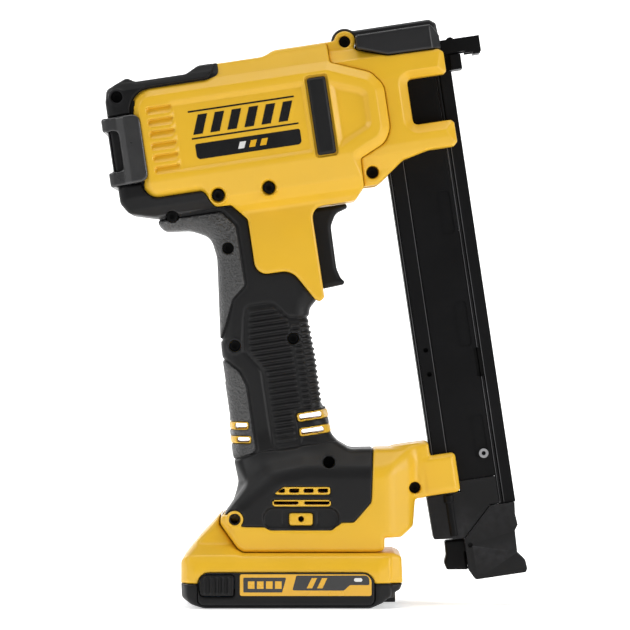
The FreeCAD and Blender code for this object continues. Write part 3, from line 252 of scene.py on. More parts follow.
NOSE_FREE = [
    (20, 290), (20, 195), (54, 195), (60, 199.9, 3), (66, 203.5, 6), (75, 210, 6), (88, 213, 8),
    (100.6, 213), (102.5, 214.8), (102.5, 224.5), (101, 226), (82.5, 226, 3), (82.5, 248.8, 3),
    (101, 248.8), (102.3, 250), (102.3, 290),
]
NOSE_WIDTH = [(198, 19), (207, 21), (214, 25), (218, 26), (251, 26), (262, 23), (268, 16), (278, 16)]
REAR_CAP = [
    (-10.2, 270.7), (-17.5, 270.7, 3), (-24, 267.1, 4), (-49, 267.1, 2), (-53, 269.7, 2),
    (-63.6, 265, 3), (-65, 259, 3), (-65, 209, 4), (-61.5, 203.5, 4), (-49, 199.8, 3),
    (-11.8, 199.8), (10, 220), (10, 270.7),
]
CAP_WIDTH = [(198, 19), (201, 24), (205, 27.5), (211, 29), (263, 29), (267, 27), (269.5, 24), (272, 20)]
BUMPER = [(-49.3, 251.2, 4), (-68.3, 251.2, 1.2), (-68.3, 217.2, 1.2), (-49.3, 218, 4)]
BUMPER_WINDOW = box(-66.6, -60.4, 224.5, 244.5, 2.5)
COVER_SIDE = [
    (60.5, 267.1), (60.5, 273.7, 1.5), (98, 273.7, 2), (101.5, 268), (101.5, 261.6), (75.2, 262, 4),
]
COVER_RIDGE = [
    (57, 276.8), (98, 276.8, 2), (101, 274.5), (101.5, 268), (101.5, 262), (75.3, 262.2), (60.6, 267.2),
    (57, 272),
]
TRIGGER = [
    (20, 193.3), (44.4, 193.3, 1), (44.8, 191.2, 1), (38.6, 189.4, 5), (35.3, 183.5, 7), (35, 162.5, 9),
    (36.3, 157.6, 4), (38.2, 155.2, 0.8), (37, 154, 0.6), (27.5, 153.4), (20, 158, 2),
]
GRIP_BACK = [
    (-48.4, 196, 4), (-46, 192.6, 4), (-33.5, 191.3, 14), (-24, 186.6, 8), (-22.5, 176, 14),
    (-27.3, 132, 40),
]
GRIP_FRONT = [(18.6, 122, 30), (17.8, 140, 2), (19.2, 144.8, 3), (23, 148.4)]
GRIP = [
    (-48.6, 201), *GRIP_BACK, (-27.5, 60), (17.2, 60), *GRIP_FRONT, (15.4, 164), (12, 167.6),
    (-1.5, 167.6), (-1.5, 194), (-9, 203),
]
GRIP_FREE = [(-49.6, 215), *GRIP_BACK, (-27.5, 30), (17.2, 30), *GRIP_FRONT, (45, 152), (60, 215)]
GRIP_CAVITY = [
    (-20.5, 56), (-20.5, 130), (-16.5, 176), (-16.5, 207), (-3, 207), (4, 168), (11, 168), (11, 56),
]
BACK_PANEL_HIGH = [
    (-60, 198.8), (-17, 198.8, 3), (-10.4, 190.5, 5), (-10.3, 160.5, 3), (-17.5, 154.5, 6),
    (-22.5, 143, 10), (-26, 136), (-60, 136),
]
BACK_PANEL_LOW = [
    (-60, 126.2), (-26, 126.2, 1), (-19.5, 119.4, 6), (-17, 112, 8), (-17, 78.6, 3), (-40, 75.2),
    (-60, 75.2),
]
RIB_PANEL = [
    (-11.5, 150, 3), (1.5, 150, 4), (7, 142.3, 5), (13, 140.8, 4), (40, 140.4), (40, 96.6), (5, 96.6, 1),
    (5, 78.6, 3), (-8.7, 78.6, 4), (-8.7, 118, 9), (-16.3, 129.5, 5), (-13.4, 145, 6),
]
RIB_FIELD = [
    (-9, 148.6), (1, 148.6), (6, 143), (7.6, 141.6), (7.6, 96.8), (3, 96.8), (3, 80), (-6.6, 80),
    (-6.6, 117.4), (-13.6, 129.2), (-11, 147),
]
LEVER = [
    (67.8, 21.6, 1), (67.5, 14.5, 2), (66, 11, 2), (66.8, 7.4, 1), (77.2, 5.9, 0.5), (77.2, 14.6),
    (82.4, 15, 2), (82.4, 20.4, 2), (76, 21.2),
]
CHANNEL_SCREW = (93.2, 61.7)
# Thin pale strips along the magazine's step edges: painted highlights where those edges catch light.
HIGHLIGHT_LINES = [
    (67.9, [(50.3, 213)], "magazine_channel"),
    (75.0, [(50.3, 213)], "magazine_channel"),
    (97.55, [(36.4, 99.2), (113.8, 213)], "magazine_cover"),
    (99.45, [(36.4, 213)], "magazine_cover"),
]
FRONT_VENTS = [(90.5, 94.9), (83.2, 87.5)]

# ---------------------------------------------------------------- outlines, upright frame

FOOT = [
    (-43.2, 47, 2), (-46.2, 44, 2), (-46.4, 40.5, 2), (-37.6, 28.6, 3), (-35, 27, 1), (30, 27), (34, 28, 2),
    (34, 34), (42, 34, 2), (48.2, 39.2, 3), (49.2, 53, 1), (53.7, 53.5), (53.7, 79.9), (39, 77.6, 3),
    (17, 77.2, 6), (6.5, 83.4, 5), (3.8, 96), (-41, 96), (-37.6, 73, 6), (-33.9, 60.6, 5),
]
FOOT_PLAN = [(-47, 24), (-40, 30, 6), (36, 30, 14), (46, 22, 9), (50, 16.5, 2), (80, 16)]
FOOT_PLATEAU = [
    (-60, 47), (-40, 47.5, 6), (-21, 63.4, 9), (-5, 67, 10), (40, 67, 6), (47, 60, 4), (60, 20), (-60, 20),
]
FOOT_SKIN = [
    (-48, 48), (-43, 45), (-35.5, 39.5, 2), (-24.5, 39.3, 1), (-22, 37.8, 1), (8, 37.8, 1), (13, 41.6, 2),
    (19, 41.7, 2), (27.5, 51.5, 3), (28.5, 80), (20, 110), (-48, 110),
]
HOOK_RECESS = box(-25.5, 12, 38, 49, 5.4)
HOOK_BLOCK = box(-12.5, -1.2, 40.3, 46, 0.8)
HIGH_VENT = [(-20.8, 55, 0.6), (7.6, 55, 0.8), (7.6, 59, 0.8), (-15.5, 59, 2.5)]
HIGH_WINDOWS = [
    [(-18.6, 56), (-14.7, 56), (-14.7, 58), (-16, 58)],
    box(-12.7, -7.8, 56, 58), box(-5.7, -0.7, 56, 58), box(1.3, 6.3, 56, 58),
]
LOW_VENT = box(-21, 8, 49.3, 52.7, 1.6)
LOW_WINDOWS = [box(-20.2, -8, 50.2, 51.8, 0.7, 0, 0, 0.7), box(-5.3, 7.2, 50.2, 51.8, 0, 0.7, 0.7, 0)]
BACK_VENTS = [(86.4, 90.5, -32.4), (79.5, 83.5, -31.2)]
BATTERY = [
    (-65.3, 12), (-65.3, 23, 4), (-57, 33.5), (-50, 41), (-43.6, 48.4, 0.5), (-46.7, 44, 1.5),
    (-46.9, 40.4, 2), (-38, 28.5, 3), (-35.3, 26.7, 1), (38.4, 26.7, 1), (42.2, 25, 2), (42.8, 12),
]
BATTERY_BASE = [
    (-65.3, 12), (-65, 5, 3), (-60, 1.8, 4), (-54, 0, 4), (27, 0, 4), (33, 2.6, 3), (35.5, 4.7),
    (38.6, 5, 1), (39, 7.5), (41.5, 9, 1), (42.7, 12),
]
BATTERY_PLAN = [
    (-65.3, 31), (-62, 36, 3), (-58.5, 37.5, 3), (31, 37.5, 3), (36.6, 35.6, 1.5), (37.5, 33.4, 1),
    (42.8, 30.5),
]
BATTERY_WIDTH = [(0, 47.8), (16, 39.6), (25.8, 34.5, 3), (31, 26, 3), (50, 20)]
BATTERY_PANEL = box(-57, 29, 1.6, 17.5, 3, 3, 6, 5.5)
BATTERY_LABEL = box(-36.5, 27.5, 6.3, 16.8, 1, 1, 4, 1)
LABEL_FIELD = [
    (-11, 9, 0.6), (-9, 16.2, 0.6), (26.4, 16.2, 3.4), (26.4, 11.6, 0.6), (17, 11.6, 0.6), (14, 8.9, 0.6),
]
LABEL_PLATE = [(-34.8, 8, 0.5), (-34.8, 15.2, 0.5), (-14, 15.2, 0.5), (-16, 8, 0.5)]
BUTTON = box(-56, -39.5, 6.2, 16.3, 2, 1, 1, 3.5)

# ---------------------------------------------------------------- screws and holes

# Across and up in the tool frame; the barrel's screws carry how far out their face is too.
BARREL_SCREWS = [(-17, 206, 28.5), (8, 206, 28.5)]
GRIP_SCREWS = [(-41, 199.3), (-16.3, 180), (-20, 132), (8.8, 131.3)]
NOSE_BOSS = (55.3, 271.8)
CAP_SCREW = (-59, 260.8)
NOSE_SCREW = (59.3, 206.2)
ARM_SCREW = (57, 50.2)
# Across and up in the upright frame.
FOOT_SCREW = (6.8, 70.8)
STRAP_HOLE = (-39.2, 43)
HOOK_HOLE = (-6.8, 43.2)
# The radius of a recess round a screw.
RECESS = 2.85


# ---------------------------------------------------------------- fields of distances

class Space:
    """A grid over one half of a part: across, out from the parting plane, and up.

    The grid lies along the tool frame or the upright frame, and knows the place of every
    point in both.
    """

    def __init__(self, across, out, up, step, tool=True):
        self.step = step
        self.tool = tool
        self.across = np.arange(across[0], across[1] + step, step)
        self.outward = np.arange(-2.6 * step, out + 2 * step, step)
        self.up = np.arange(up[0], up[1] + step, step)
        self.h = self.outward[None, :, None]
        first, second = np.meshgrid(self.across, self.up, indexing="ij")
        if tool:
            self.u, self.w = first, second
            self.x, self.z = first * COS - second * SIN, first * SIN + second * COS
        else:
            self.x, self.z = first, second
            self.u, self.w = first * COS + second * SIN, second * COS - first * SIN

    def plane(self, tool=None):
        """Places across and up, in the tool frame, the upright frame or the grid's own."""
        return (self.u, self.w) if (self.tool if tool is None else tool) else (self.x, self.z)

    def outline(self, corners, tool=None):
        """Distance to an outline seen from the side; below zero is inside."""
        return distance(corners, *self.plane(tool))[:, None, :]

    def width(self, profile, along="up", tool=None):
        """Distance to a face whose half width follows the height or the length."""
        place = self.plane(tool)[("across", "up").index(along)]
        start, end = profile[0], profile[-1]
        section = [(start[0] - 90, -90), (start[0] - 90, start[1]), *profile]
        section += [(end[0] + 90, end[1]), (end[0] + 90, -90)]
        stops = np.linspace(place.min(), place.max(), 600)
        table = distance(section, *np.meshgrid(stops, self.outward, indexing="ij"))
        at = (place - stops[0]) / (stops[1] - stops[0])
        row = np.minimum(at.astype(int), len(stops) - 2)
        share = (at - row)[..., None]
        return np.moveaxis(table[row] * (1 - share) + table[row + 1] * share, 2, 1)

    def tube(self, centre, radius, tool=None):
        """Distance to a round hole or boss that runs across the tool."""
        across, up = self.plane(tool)
        return (np.hypot(across - centre[0], up - centre[1]) - radius)[:, None, :]

    def slot(self, across, up, tool=None):
        """Distance to a square-cornered rectangle seen from the side."""
        return self.outline(box(*across, *up), tool)


def rounded(corners):
    """The points of a closed outline whose corners may carry a radius."""
    points = []
    count = len(corners)
    for index, corner in enumerate(corners):
        here = np.array(corner[:2], float)
        if len(corner) == 2:
            points.append(here)
            continue
        before = np.array(corners[index - 1][:2], float) - here
        after = np.array(corners[(index + 1) % count][:2], float) - here
        long_before, long_after = np.linalg.norm(before), np.linalg.norm(after)
        before, after = before / long_before, after / long_after
        half_angle = math.acos(np.clip(before @ after, -1, 1)) / 2
        reach = min(corner[2] / math.tan(half_angle), 0.49 * long_before, 0.49 * long_after)
        radius = reach * math.tan(half_angle)
        inward = (before + after) / np.linalg.norm(before + after)
        middle = here + inward * radius / math.sin(half_angle)
        start, end = here + before * reach - middle, here + after * reach - middle
        first = math.atan2(start[1], start[0])
        turn = (math.atan2(end[1], end[0]) - first + math.pi) % math.tau - math.pi
        for angle in np.linspace(first, first + turn, 7):
            points.append(middle + radius * np.array([math.cos(angle), math.sin(angle)]))
    return np.array(points)


def distance(corners, across, up):
    """Signed distance from every point of two arrays to a closed outline."""
    ring = rounded(corners)
    nearest = np.full(across.shape, 1e9)
    inside = np.zeros(across.shape, bool)
    for (x0, z0), (x1, z1) in zip(ring, np.roll(ring, -1, axis=0)):
        dx, dz = x1 - x0, z1 - z0
        long = dx * dx + dz * dz
        if long < 1e-9:
            continue
        share = np.clip(((across - x0) * dx + (up - z0) * dz) / long, 0, 1)
        nearest = np.minimum(nearest, (across - x0 - share * dx) ** 2 + (up - z0 - share * dz) ** 2)
        if dz:
            inside ^= ((z0 > up) != (z1 > up)) & (across < x0 + (up - z0) * dx / dz)
    return np.where(inside, -1, 1) * np.sqrt(nearest)


def both(first, second, radius=0.0):
    """What lies in two fields, with the shared edge rounded."""
    if not radius:
        return np.maximum(first, second)
    rim = np.hypot(np.maximum(first + radius, 0), np.maximum(second + radius, 0))
    return np.minimum(-radius, np.maximum(first, second)) + rim


def either(first, second, radius=0.0):
    """What lies in one field or another, with the shared corner filled."""
    if not radius:
        return np.minimum(first, second)
    rim = np.hypot(np.maximum(radius - first, 0), np.maximum(radius - second, 0))
    return np.maximum(radius, np.minimum(first, second)) - rim


def chamfer(first, second, size):
    """A plane at 45 degrees that cuts the edge two fields share."""
    return (first + second + size) * math.sqrt(0.5)


def without(field, space, radius=0.0):
    """A field less another, with the new edge rounded."""
    return both(field, -space, radius)


def sunk(field, outline, face, depth, slope, height):
    """A field with a panel sunk into its face; the panel's walls lean by the slope."""
    lean = math.hypot(1, slope)
    walls = (outline + slope * (face - height)) / lean
    return without(field, both(walls, face - depth - height), 0.35)


def soft_step(value, low, high):
    """A smooth change from 0 to 1 between two values."""
    share = np.clip((value - low) / (high - low), 0, 1)
    return share * share * (3 - 2 * share)


# ---------------------------------------------------------------- fields to meshes

def skinned(field, space):
    """Vertices and quads of a field's zero surface, one vertex to a grid cell."""
    field = field.copy()
    for axis in range(3):
        for end in (0, -1):
            edge = np.take(field, [end], axis)
            index = [slice(None)] * 3
            index[axis] = slice(None, 1) if end == 0 else slice(-1, None)
            field[tuple(index)] = np.maximum(edge, 0.2 * space.step)
    inside = field < 0
    shape = tuple(number - 1 for number in field.shape)
    corners = [(i, j, k) for i in (0, 1) for j in (0, 1) for k in (0, 1)]

    def shifted(values, corner):
        return values[tuple(slice(s, s + n) for s, n in zip(corner, shape))]

    count = sum(shifted(inside, corner).astype(np.int8) for corner in corners)
    cells = np.argwhere((count > 0) & (count < 8))
    values = np.stack([field[tuple((cells + corner).T)] for corner in corners], 1)
    total = np.zeros((len(cells), 3))
    crossings = np.zeros(len(cells))
    for first, start in enumerate(corners):
        for second, end in enumerate(corners):
            if second <= first or sum(abs(a - b) for a, b in zip(start, end)) != 1:
                continue
            a, b = values[:, first], values[:, second]
            hit = (a < 0) != (b < 0)
            share = np.where(hit, a / np.where(hit, a - b, 1), 0)[:, None]
            total += (np.array(start) + share * (np.array(end) - np.array(start))) * hit[:, None]
            crossings += hit
    local = cells + total / crossings[:, None]
    origin = np.array([space.across[0], space.outward[0], space.up[0]])
    points = origin + local * space.step
    number = np.full(shape, -1, np.int64)
    number[tuple(cells.T)] = np.arange(len(cells))
    quads = []
    for axis in range(3):
        ahead = [0, 0, 0]
        ahead[axis] = 1
        size = [n - a for n, a in zip(field.shape, ahead)]
        low = inside[tuple(slice(0, n) for n in size)]
        high = inside[tuple(slice(a, a + n) for a, n in zip(ahead, size))]
        edges = np.argwhere(low != high)
        side, other = [(1, 2), (2, 0), (0, 1)][axis]
        keep = (edges[:, side] > 0) & (edges[:, other] > 0)
        keep &= (edges[:, side] < shape[side]) & (edges[:, other] < shape[other])
        edges = edges[keep]
        around = []
        for back_side, back_other in ((1, 1), (0, 1), (0, 0), (1, 0)):
            cell = edges.copy()
            cell[:, side] -= back_side
            cell[:, other] -= back_other
            around.append(number[tuple(cell.T)])
        quad = np.stack(around, 1)
        outwards = low[tuple(edges.T)]
        quads.append(np.where(outwards[:, None], quad, quad[:, ::-1]))
    return points, np.concatenate(quads)


def in_row_frame(points, tool, side):
    """Points across, out and up in a drawing frame, as metres in the row frame."""
    across, out, up = points.T
    if tool:
        across, up = across * COS - up * SIN, across * SIN + up * COS
    return np.stack([across, -out if side == "right" else out, up], 1) * MM


def mesh_object(name, points, faces):
    """A mesh object with smooth faces, from arrays; faces may be an array or lists."""
    mesh = bpy.data.meshes.new(name)
    if isinstance(faces, np.ndarray):
        sides = faces.shape[1]
        mesh.vertices.add(len(points))
        mesh.vertices.foreach_set("co", np.ascontiguousarray(points, np.float32).ravel())
        mesh.loops.add(faces.size)
        mesh.loops.foreach_set("vertex_index", np.ascontiguousarray(faces, np.int32).ravel())
        mesh.polygons.add(len(faces))
        mesh.polygons.foreach_set("loop_start", np.arange(0, faces.size, sides, dtype=np.int32))
        mesh.update(calc_edges=True)
    else:
        mesh.from_pydata([tuple(point) for point in points], [], faces)
    mesh.validate()
    mesh.shade_smooth()
    shape = bpy.data.objects.new(name, mesh)
    SCENE.collection.objects.link(shape)
    return shape


def dress(shape, paint, node):
    """Give a piece its finish, and its body and slot from the CAD node it belongs to."""
    shape.data.materials.append(PAINT[paint])
    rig.ride(shape, BODY_OF[node])
    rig.slot(shape, SLOT_OF[node])
    return shape


def moulded(name, field, space, paint, node, side):
    """One half of a moulding as a mesh, on the body of the CAD node."""
    field = both(field, 0.06 - space.h, 0.45)
    points, quads = skinned(field, space)
    if side == "right":
        quads = quads[:, ::-1]
    shape = mesh_object(f"{name}_{side}", in_row_frame(points, space.tool, side), quads)
    return dress(shape, paint, node)


def fit(name, form, space, paint, node, side):
    """One half of a moulding that takes the place of its CAD node.

    A node's name with {} in it stands for one on each side. Any other is replaced only once.
    """
    own = node.format(side)
    shape = moulded(name, form, space, paint, own, side)
    if side == "right" or own != node:
        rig.replaces(shape, own)


def fitted(name, forms, space, paint, node):
    """Both halves of a moulding in place of its CAD node; halves that differ as a dictionary."""
    for side in SIDES:
        fit(name, forms[side] if isinstance(forms, dict) else forms, space, paint, node, side)


def prism(name, corners, low, high, tool, side, paint, node):
    """A thin plate with a closed outline, standing out between two distances."""
    ring = rounded(corners)
    count = len(ring)
    layers = [np.column_stack([ring[:, 0], np.full(count, out), ring[:, 1]]) for out in (low, high)]
    points = np.concatenate(layers)
    walls = [(i, (i + 1) % count, (i + 1) % count + count, i + count) for i in range(count)]
    faces = [tuple(range(count)), tuple(reversed(range(count, 2 * count)))] + walls
    area = np.sum(ring[:, 0] * np.roll(ring[:, 1], -1) - np.roll(ring[:, 0], -1) * ring[:, 1])
    if (area > 0) == (side == "right"):
        faces = [tuple(reversed(face)) for face in faces]
    shape = mesh_object(f"{name}_{side}", in_row_frame(points, tool, side), faces)
    shape.data.shade_flat()
    return dress(shape, paint, node)


# ---------------------------------------------------------------- materials

def new_material(name):
    """An empty material and the two nodes every finish needs."""
    material = bpy.data.materials.new(name)
    material.use_nodes = True
    tree = material.node_tree
    shader = tree.nodes["Principled BSDF"]
    place = tree.nodes.new("ShaderNodeTexCoord").outputs["Object"]
    return material, tree, shader, place


def noise(tree, place, scale, detail=2.0, rough=0.5):
    """A noise texture's value."""
    texture = tree.nodes.new("ShaderNodeTexNoise")
    texture.inputs["Scale"].default_value = scale
    texture.inputs["Detail"].default_value = detail
    texture.inputs["Roughness"].default_value = rough
    tree.links.new(place, texture.inputs["Vector"])
    return texture.outputs["Fac"]


def ranged(tree, value, low, high, start=0.3, end=0.7):
    """A value mapped to a range."""
    mapping = tree.nodes.new("ShaderNodeMapRange")
    mapping.inputs["From Min"].default_value = start
    mapping.inputs["From Max"].default_value = end
    mapping.inputs["To Min"].default_value = low
    mapping.inputs["To Max"].default_value = high
    tree.links.new(value, mapping.inputs["Value"])
    return mapping.outputs["Result"]


def blended(tree, share, first, second):
    """A colour between two; either may be a colour or another node's output."""
    mix = tree.nodes.new("ShaderNodeMix")
    mix.data_type = "RGBA"
    tree.links.new(share, mix.inputs["Factor"])
    for socket, colour in (("A", first), ("B", second)):
        target = next(s for s in mix.inputs if s.name == socket and s.type == "RGBA")
        if isinstance(colour, tuple):
            target.default_value = (*colour, 1)
        else:
            tree.links.new(colour, target)
    return next(s for s in mix.outputs if s.type == "RGBA")


def shade(colour, factor):
    """A colour made lighter or darker."""
    return tuple(min(channel * factor, 1.0) for channel in colour)


def bumped(tree, value, strength, depth, under=None):
    """A bump from a value, over another bump if there is one."""
    bump = tree.nodes.new("ShaderNodeBump")
    bump.inputs["Strength"].default_value = strength
    bump.inputs["Distance"].default_value = depth * MM
    tree.links.new(value, bump.inputs["Height"])
    if under is not None:
        tree.links.new(under, bump.inputs["Normal"])
    return bump.outputs["Normal"]


def finish(name, colour, gloss, grain, relief, mottle, metal=0.0, edge_wear_and_highlight=None, coat=0.0, shine=0.5):
    """A finish with mottled colour, uneven gloss, a fine grain and edges painted lighter, partly as wear and partly as
    painted highlight.

    gloss is the lowest and highest roughness; grain is the grain's size in millimetres and relief its depth; the edge
    colour and how far it shows paint the sharp edges lighter, partly wear and partly painted highlight.
    """
    material, tree, shader, place = new_material(name)
    cloudy = noise(tree, place, 28, 3)
    dark, pale = shade(colour, 1 - mottle), shade(colour, 1 + mottle)
    base = blended(tree, ranged(tree, cloudy, 0, 1), dark, pale)
    # Sharp edges, found by pointiness and broken up by noise, take a lighter colour: partly wear, partly painted
    # highlight where light would catch them.
    if edge_wear_and_highlight:
        lit_edge_colour, amount = edge_wear_and_highlight
        edges = tree.nodes.new("ShaderNodeNewGeometry").outputs["Pointiness"]
        lit_edge_share = tree.nodes.new("ShaderNodeMath")
        lit_edge_share.operation = "MULTIPLY"
        tree.links.new(ranged(tree, edges, 0, amount, 0.53, 0.62), lit_edge_share.inputs[0])
        tree.links.new(ranged(tree, noise(tree, place, 320, 4), 0.2, 1.0), lit_edge_share.inputs[1])
        base = blended(tree, lit_edge_share.outputs[0], base, lit_edge_colour)
    tree.links.new(base, shader.inputs["Base Color"])
    tree.links.new(ranged(tree, noise(tree, place, 90, 4), *gloss), shader.inputs["Roughness"])
    fine = noise(tree, place, 1000 / grain, 2, 0.6)
    waves = bumped(tree, noise(tree, place, 60, 1), 0.05, 0.2)
    tree.links.new(bumped(tree, fine, 0.5, relief, waves), shader.inputs["Normal"])
    shader.inputs["Metallic"].default_value = metal
    shader.inputs["Coat Weight"].default_value = coat
    shader.inputs["Specular IOR Level"].default_value = shine
    return material


def grey(level, blue=0.0):
    """A grey with a little more blue."""
    return (level, level, level + blue)


MOULDED = dict(relief=0.05, mottle=0.15)
FILM = dict(grain=2.0, relief=0.01, coat=0.4)
METAL = dict(relief=0.02, metal=1.0)
# Name: its material's name, colour, lowest and highest roughness, and the rest.
# The lighter edge colours of the yellow, black, rubber, grey and cover finishes are painted highlights along edges,
# partly wear.
FINISHES = {
    "yellow": ("yellow_nylon", (0.80, 0.465, 0.022), (0.30, 0.42),
               dict(grain=0.55, relief=0.03, edge_wear_and_highlight=((0.92, 0.66, 0.16), 0.5), mottle=0.035)),
    "black": ("black_nylon", grey(0.0075, 0.0005), (0.36, 0.5),
              dict(MOULDED, grain=0.5, edge_wear_and_highlight=(grey(0.05, 0.005), 0.5), shine=0.22)),
    "rubber": ("soft_rubber", grey(0.010, 0.0005), (0.38, 0.5),
               dict(MOULDED, grain=0.6, edge_wear_and_highlight=(grey(0.05, 0.002), 0.6), shine=0.25)),
    "dimpled": ("dimpled_rubber", grey(0.030, 0.0005), (0.30, 0.42),
                dict(grain=1.3, relief=2.6, mottle=0.25, shine=0.8)),
    "grey": ("grey_rubber", grey(0.024, 0.001), (0.26, 0.36),
             dict(grain=0.8, relief=0.05, edge_wear_and_highlight=(grey(0.12, 0.005), 0.7), mottle=0.1, shine=0.8)),
    "cover": ("cover_nylon", grey(0.018, 0.001), (0.26, 0.38),
              dict(grain=0.5, relief=0.05, edge_wear_and_highlight=(grey(0.06, 0.005), 0.4), mottle=0.12, shine=0.45)),
    # Pale grey for the magazine's edge strips: painted highlight.
    "painted_highlight": ("painted_edge_highlight", grey(0.10, 0.004), (0.3, 0.45),
               dict(METAL, grain=0.3, metal=0.3, mottle=0.3)),
    "film": ("label_film", grey(0.006, 0.0005), (0.16, 0.26), dict(FILM, mottle=0.1)),
    "film_yellow": ("label_yellow", (0.78, 0.42, 0.014), (0.2, 0.3), dict(FILM, mottle=0.03)),
    "film_white": ("label_white", (0.75, 0.75, 0.74), (0.2, 0.3), dict(FILM, mottle=0.03)),
    "coated": ("black_coated_metal", grey(0.006, 0.0005), (0.36, 0.5),
               dict(grain=0.35, relief=0.04, mottle=0.2, shine=0.1)),
    "steel": ("machined_steel", grey(0.42, 0.01), (0.22, 0.38), dict(METAL, grain=0.3, mottle=0.08)),
    # Near-black: the screws' steel, darkened as painted shade in their recesses, and the colour of the discs and plates
    # of painted shade in holes.
    "dark_steel_and_shade": ("dark_steel_and_shade", grey(0.005), (0.5, 0.65),
                   dict(grain=0.3, relief=0.03, mottle=0.15, shine=0.1)),
    "wire": ("spring_wire", grey(0.32, 0.02), (0.2, 0.34), dict(METAL, grain=0.25, mottle=0.1)),
    "brass": ("brass", (0.60, 0.40, 0.14), (0.22, 0.36), dict(METAL, grain=0.3, mottle=0.08)),
    "board": ("circuit_board", (0.012, 0.11, 0.035), (0.3, 0.42),
              dict(grain=1.2, relief=0.05, mottle=0.25)),
    "wrap": ("cell_wrap", (0.05, 0.16, 0.33), (0.22, 0.34), dict(grain=3.0, relief=0.02, mottle=0.06)),
}
PAINT = {
    name: finish(own_name, colour, gloss, **rest)
    for name, (own_name, colour, gloss, rest) in FINISHES.items()
}
SLOT_PAINT = {
    "yellow_housing": "yellow", "black_casing": "black", "soft_grip": "rubber", "grey_rubber": "grey",
    "label_film": "film", "black_metal": "coated", "steel": "steel", "spring_steel": "wire",
    "brass": "brass", "circuit_board": "board", "cell_wrap": "wrap",
}


# ---------------------------------------------------------------- the head

def barrel():
    """Main housing's head: ridged barrel and the web behind the trigger."""
    space = Space((-57, 73), 33, (145, 275.5), 0.65)
    height = space.h
    edge = space.outline(BARREL)
    form = both(edge, space.width(BARREL_WIDTH), 1.2)
    form = both(form, chamfer(edge, height - BARREL_HALF, 4.4))
    form = sunk(form, space.outline(FACE_PANEL), BARREL_HALF, PANEL_DEPTH, 1.5, height)
    form = sunk(form, space.outline(FRONT_PANEL), BARREL_HALF, 1.9, 1.5, height)
    form = louvred(form, space)
    form = without(form, both(space.outline(PAD_SEAT), BARREL_HALF - 1.5 - height), 0.4)
    for across, up, face in BARREL_SCREWS:
        collar = both(space.tube((across, up), 4.5), height - face, 0.8)
        form = either(form, collar, 0.6)
    hollow = both(space.outline(CAVITY), space.width(CAVITY_WIDTH))
    form = without(form, hollow)
    form = without(form, both(space.outline(TRIGGER_SLOT), height - TRIGGER_HALF - 0.5), 0.5)
    form = without(form, both(space.slot((20, 104), (250, 266)), height - CHANNEL))
    forms = dict.fromkeys(SIDES, form)
    for across, up, face in BARREL_SCREWS:
        bowl = (space.tube((across, up), 3.0) - 0.3 * (height - face + 3.6)) * 0.95
        hole = both(space.tube((across, up), 2.9), face - 4.7 - height)
        for cut in (both(bowl, face - 3.6 - height), hole):
            forms["right"] = without(forms["right"], cut, 0.3)
    for side in SIDES:
        fit("housing_head", forms[side], space, "yellow", "housing_{}", side)
        head_marks(side)


def louvred(form, space):
    """Six scooped slots behind the face panel, deepest along their top edge."""
    for number in range(6):
        low = 220.4 + number * 5.85
        pocket = space.outline(box(-45.6, -33.2, low, low + 3.7, 1.3))
        depth = 0.5 + 2.1 * np.clip((space.w - low) / 3.7, 0, 1)[:, None, :]
        form = without(form, both(pocket, BARREL_HALF - depth - space.h), 0.5)
    return form


def head_marks(side):
    """A plain dark strip and a row of slanted bars between two lines; no lettering."""
    face = BARREL_HALF - PANEL_DEPTH
    node = f"housing_{side}"

    def mark(name, corners, paint="film", lift=0.14):
        prism(f"head_{name}", corners, face - 0.1, face + lift, True, side, paint, node)

    mark("strip", box(-24.5, 27.2, 224.7, 232.3, 2, 2, 1, 1))
    mark("line_low", box(-25.6, 27, 234.6, 235.4))
    mark("line_high", box(-25.6, 26.6, 247.9, 248.7))
    for number in range(6):
        mark(f"bar_{number}", slanted(-24.6 + number * 8.4, 4.6, 236.9, 246.4, 3.6))
    for number in range(3):
        dash = slanted(-4 + number * 5.4, 3, 226.9, 230.2, 1.4)
        mark(f"dash_{number}", dash, "film_yellow" if number else "film_white", 0.2)


def nose():
    """Forked front housing with its wide bevels and two screw bosses."""
    space = Space((45, 105), 28, (197, 279), 0.6)
    height = space.h
    form = both(space.outline(NOSE), space.width(NOSE_WIDTH), 0.9)
    cut_size = (2.0 + 2.4 * soft_step(space.w, 214, 222))[:, None, :]
    form = both(form, chamfer(space.outline(NOSE_FREE), height - NOSE_HALF, cut_size))
    boss = both(space.tube(NOSE_BOSS, 5.2), height - 16.3, 0.9)
    form = either(form, boss, 0.8)
    low_boss = both(space.tube(NOSE_SCREW, 5.4), height - 20.6, 0.9)
    form = either(form, low_boss, 1.6)
    form = without(form, both(space.slot((54, 110), (190, 266)), height - CHANNEL))
    form = without(form, both(space.slot((40, 110), (250, 266)), height - CHANNEL))
    hollow = both(space.slot((58, 98), (215, 246)), height - 22.5)
    opening = space.slot((75, 110), (226, 249))
    form = without(form, both(hollow, -opening + 3))
    near_face = -(space.width(NOSE_WIDTH) + 2.2)
    form = without(form, both(space.outline(BARREL) - 0.3, near_face))
    forms = {}
    for side, depth in (("right", 4.8), ("left", 1.4)):
        forms[side] = without(form, both(space.tube(NOSE_BOSS, 2.85), 16.3 - depth - height), 0.5)
        low_hole = both(space.tube(NOSE_SCREW, 3.1), 20.6 - depth - height)
        forms[side] = without(forms[side], low_hole, 0.5)
    fitted("nose_casing", forms, space, "yellow", "nose_housing_{}")


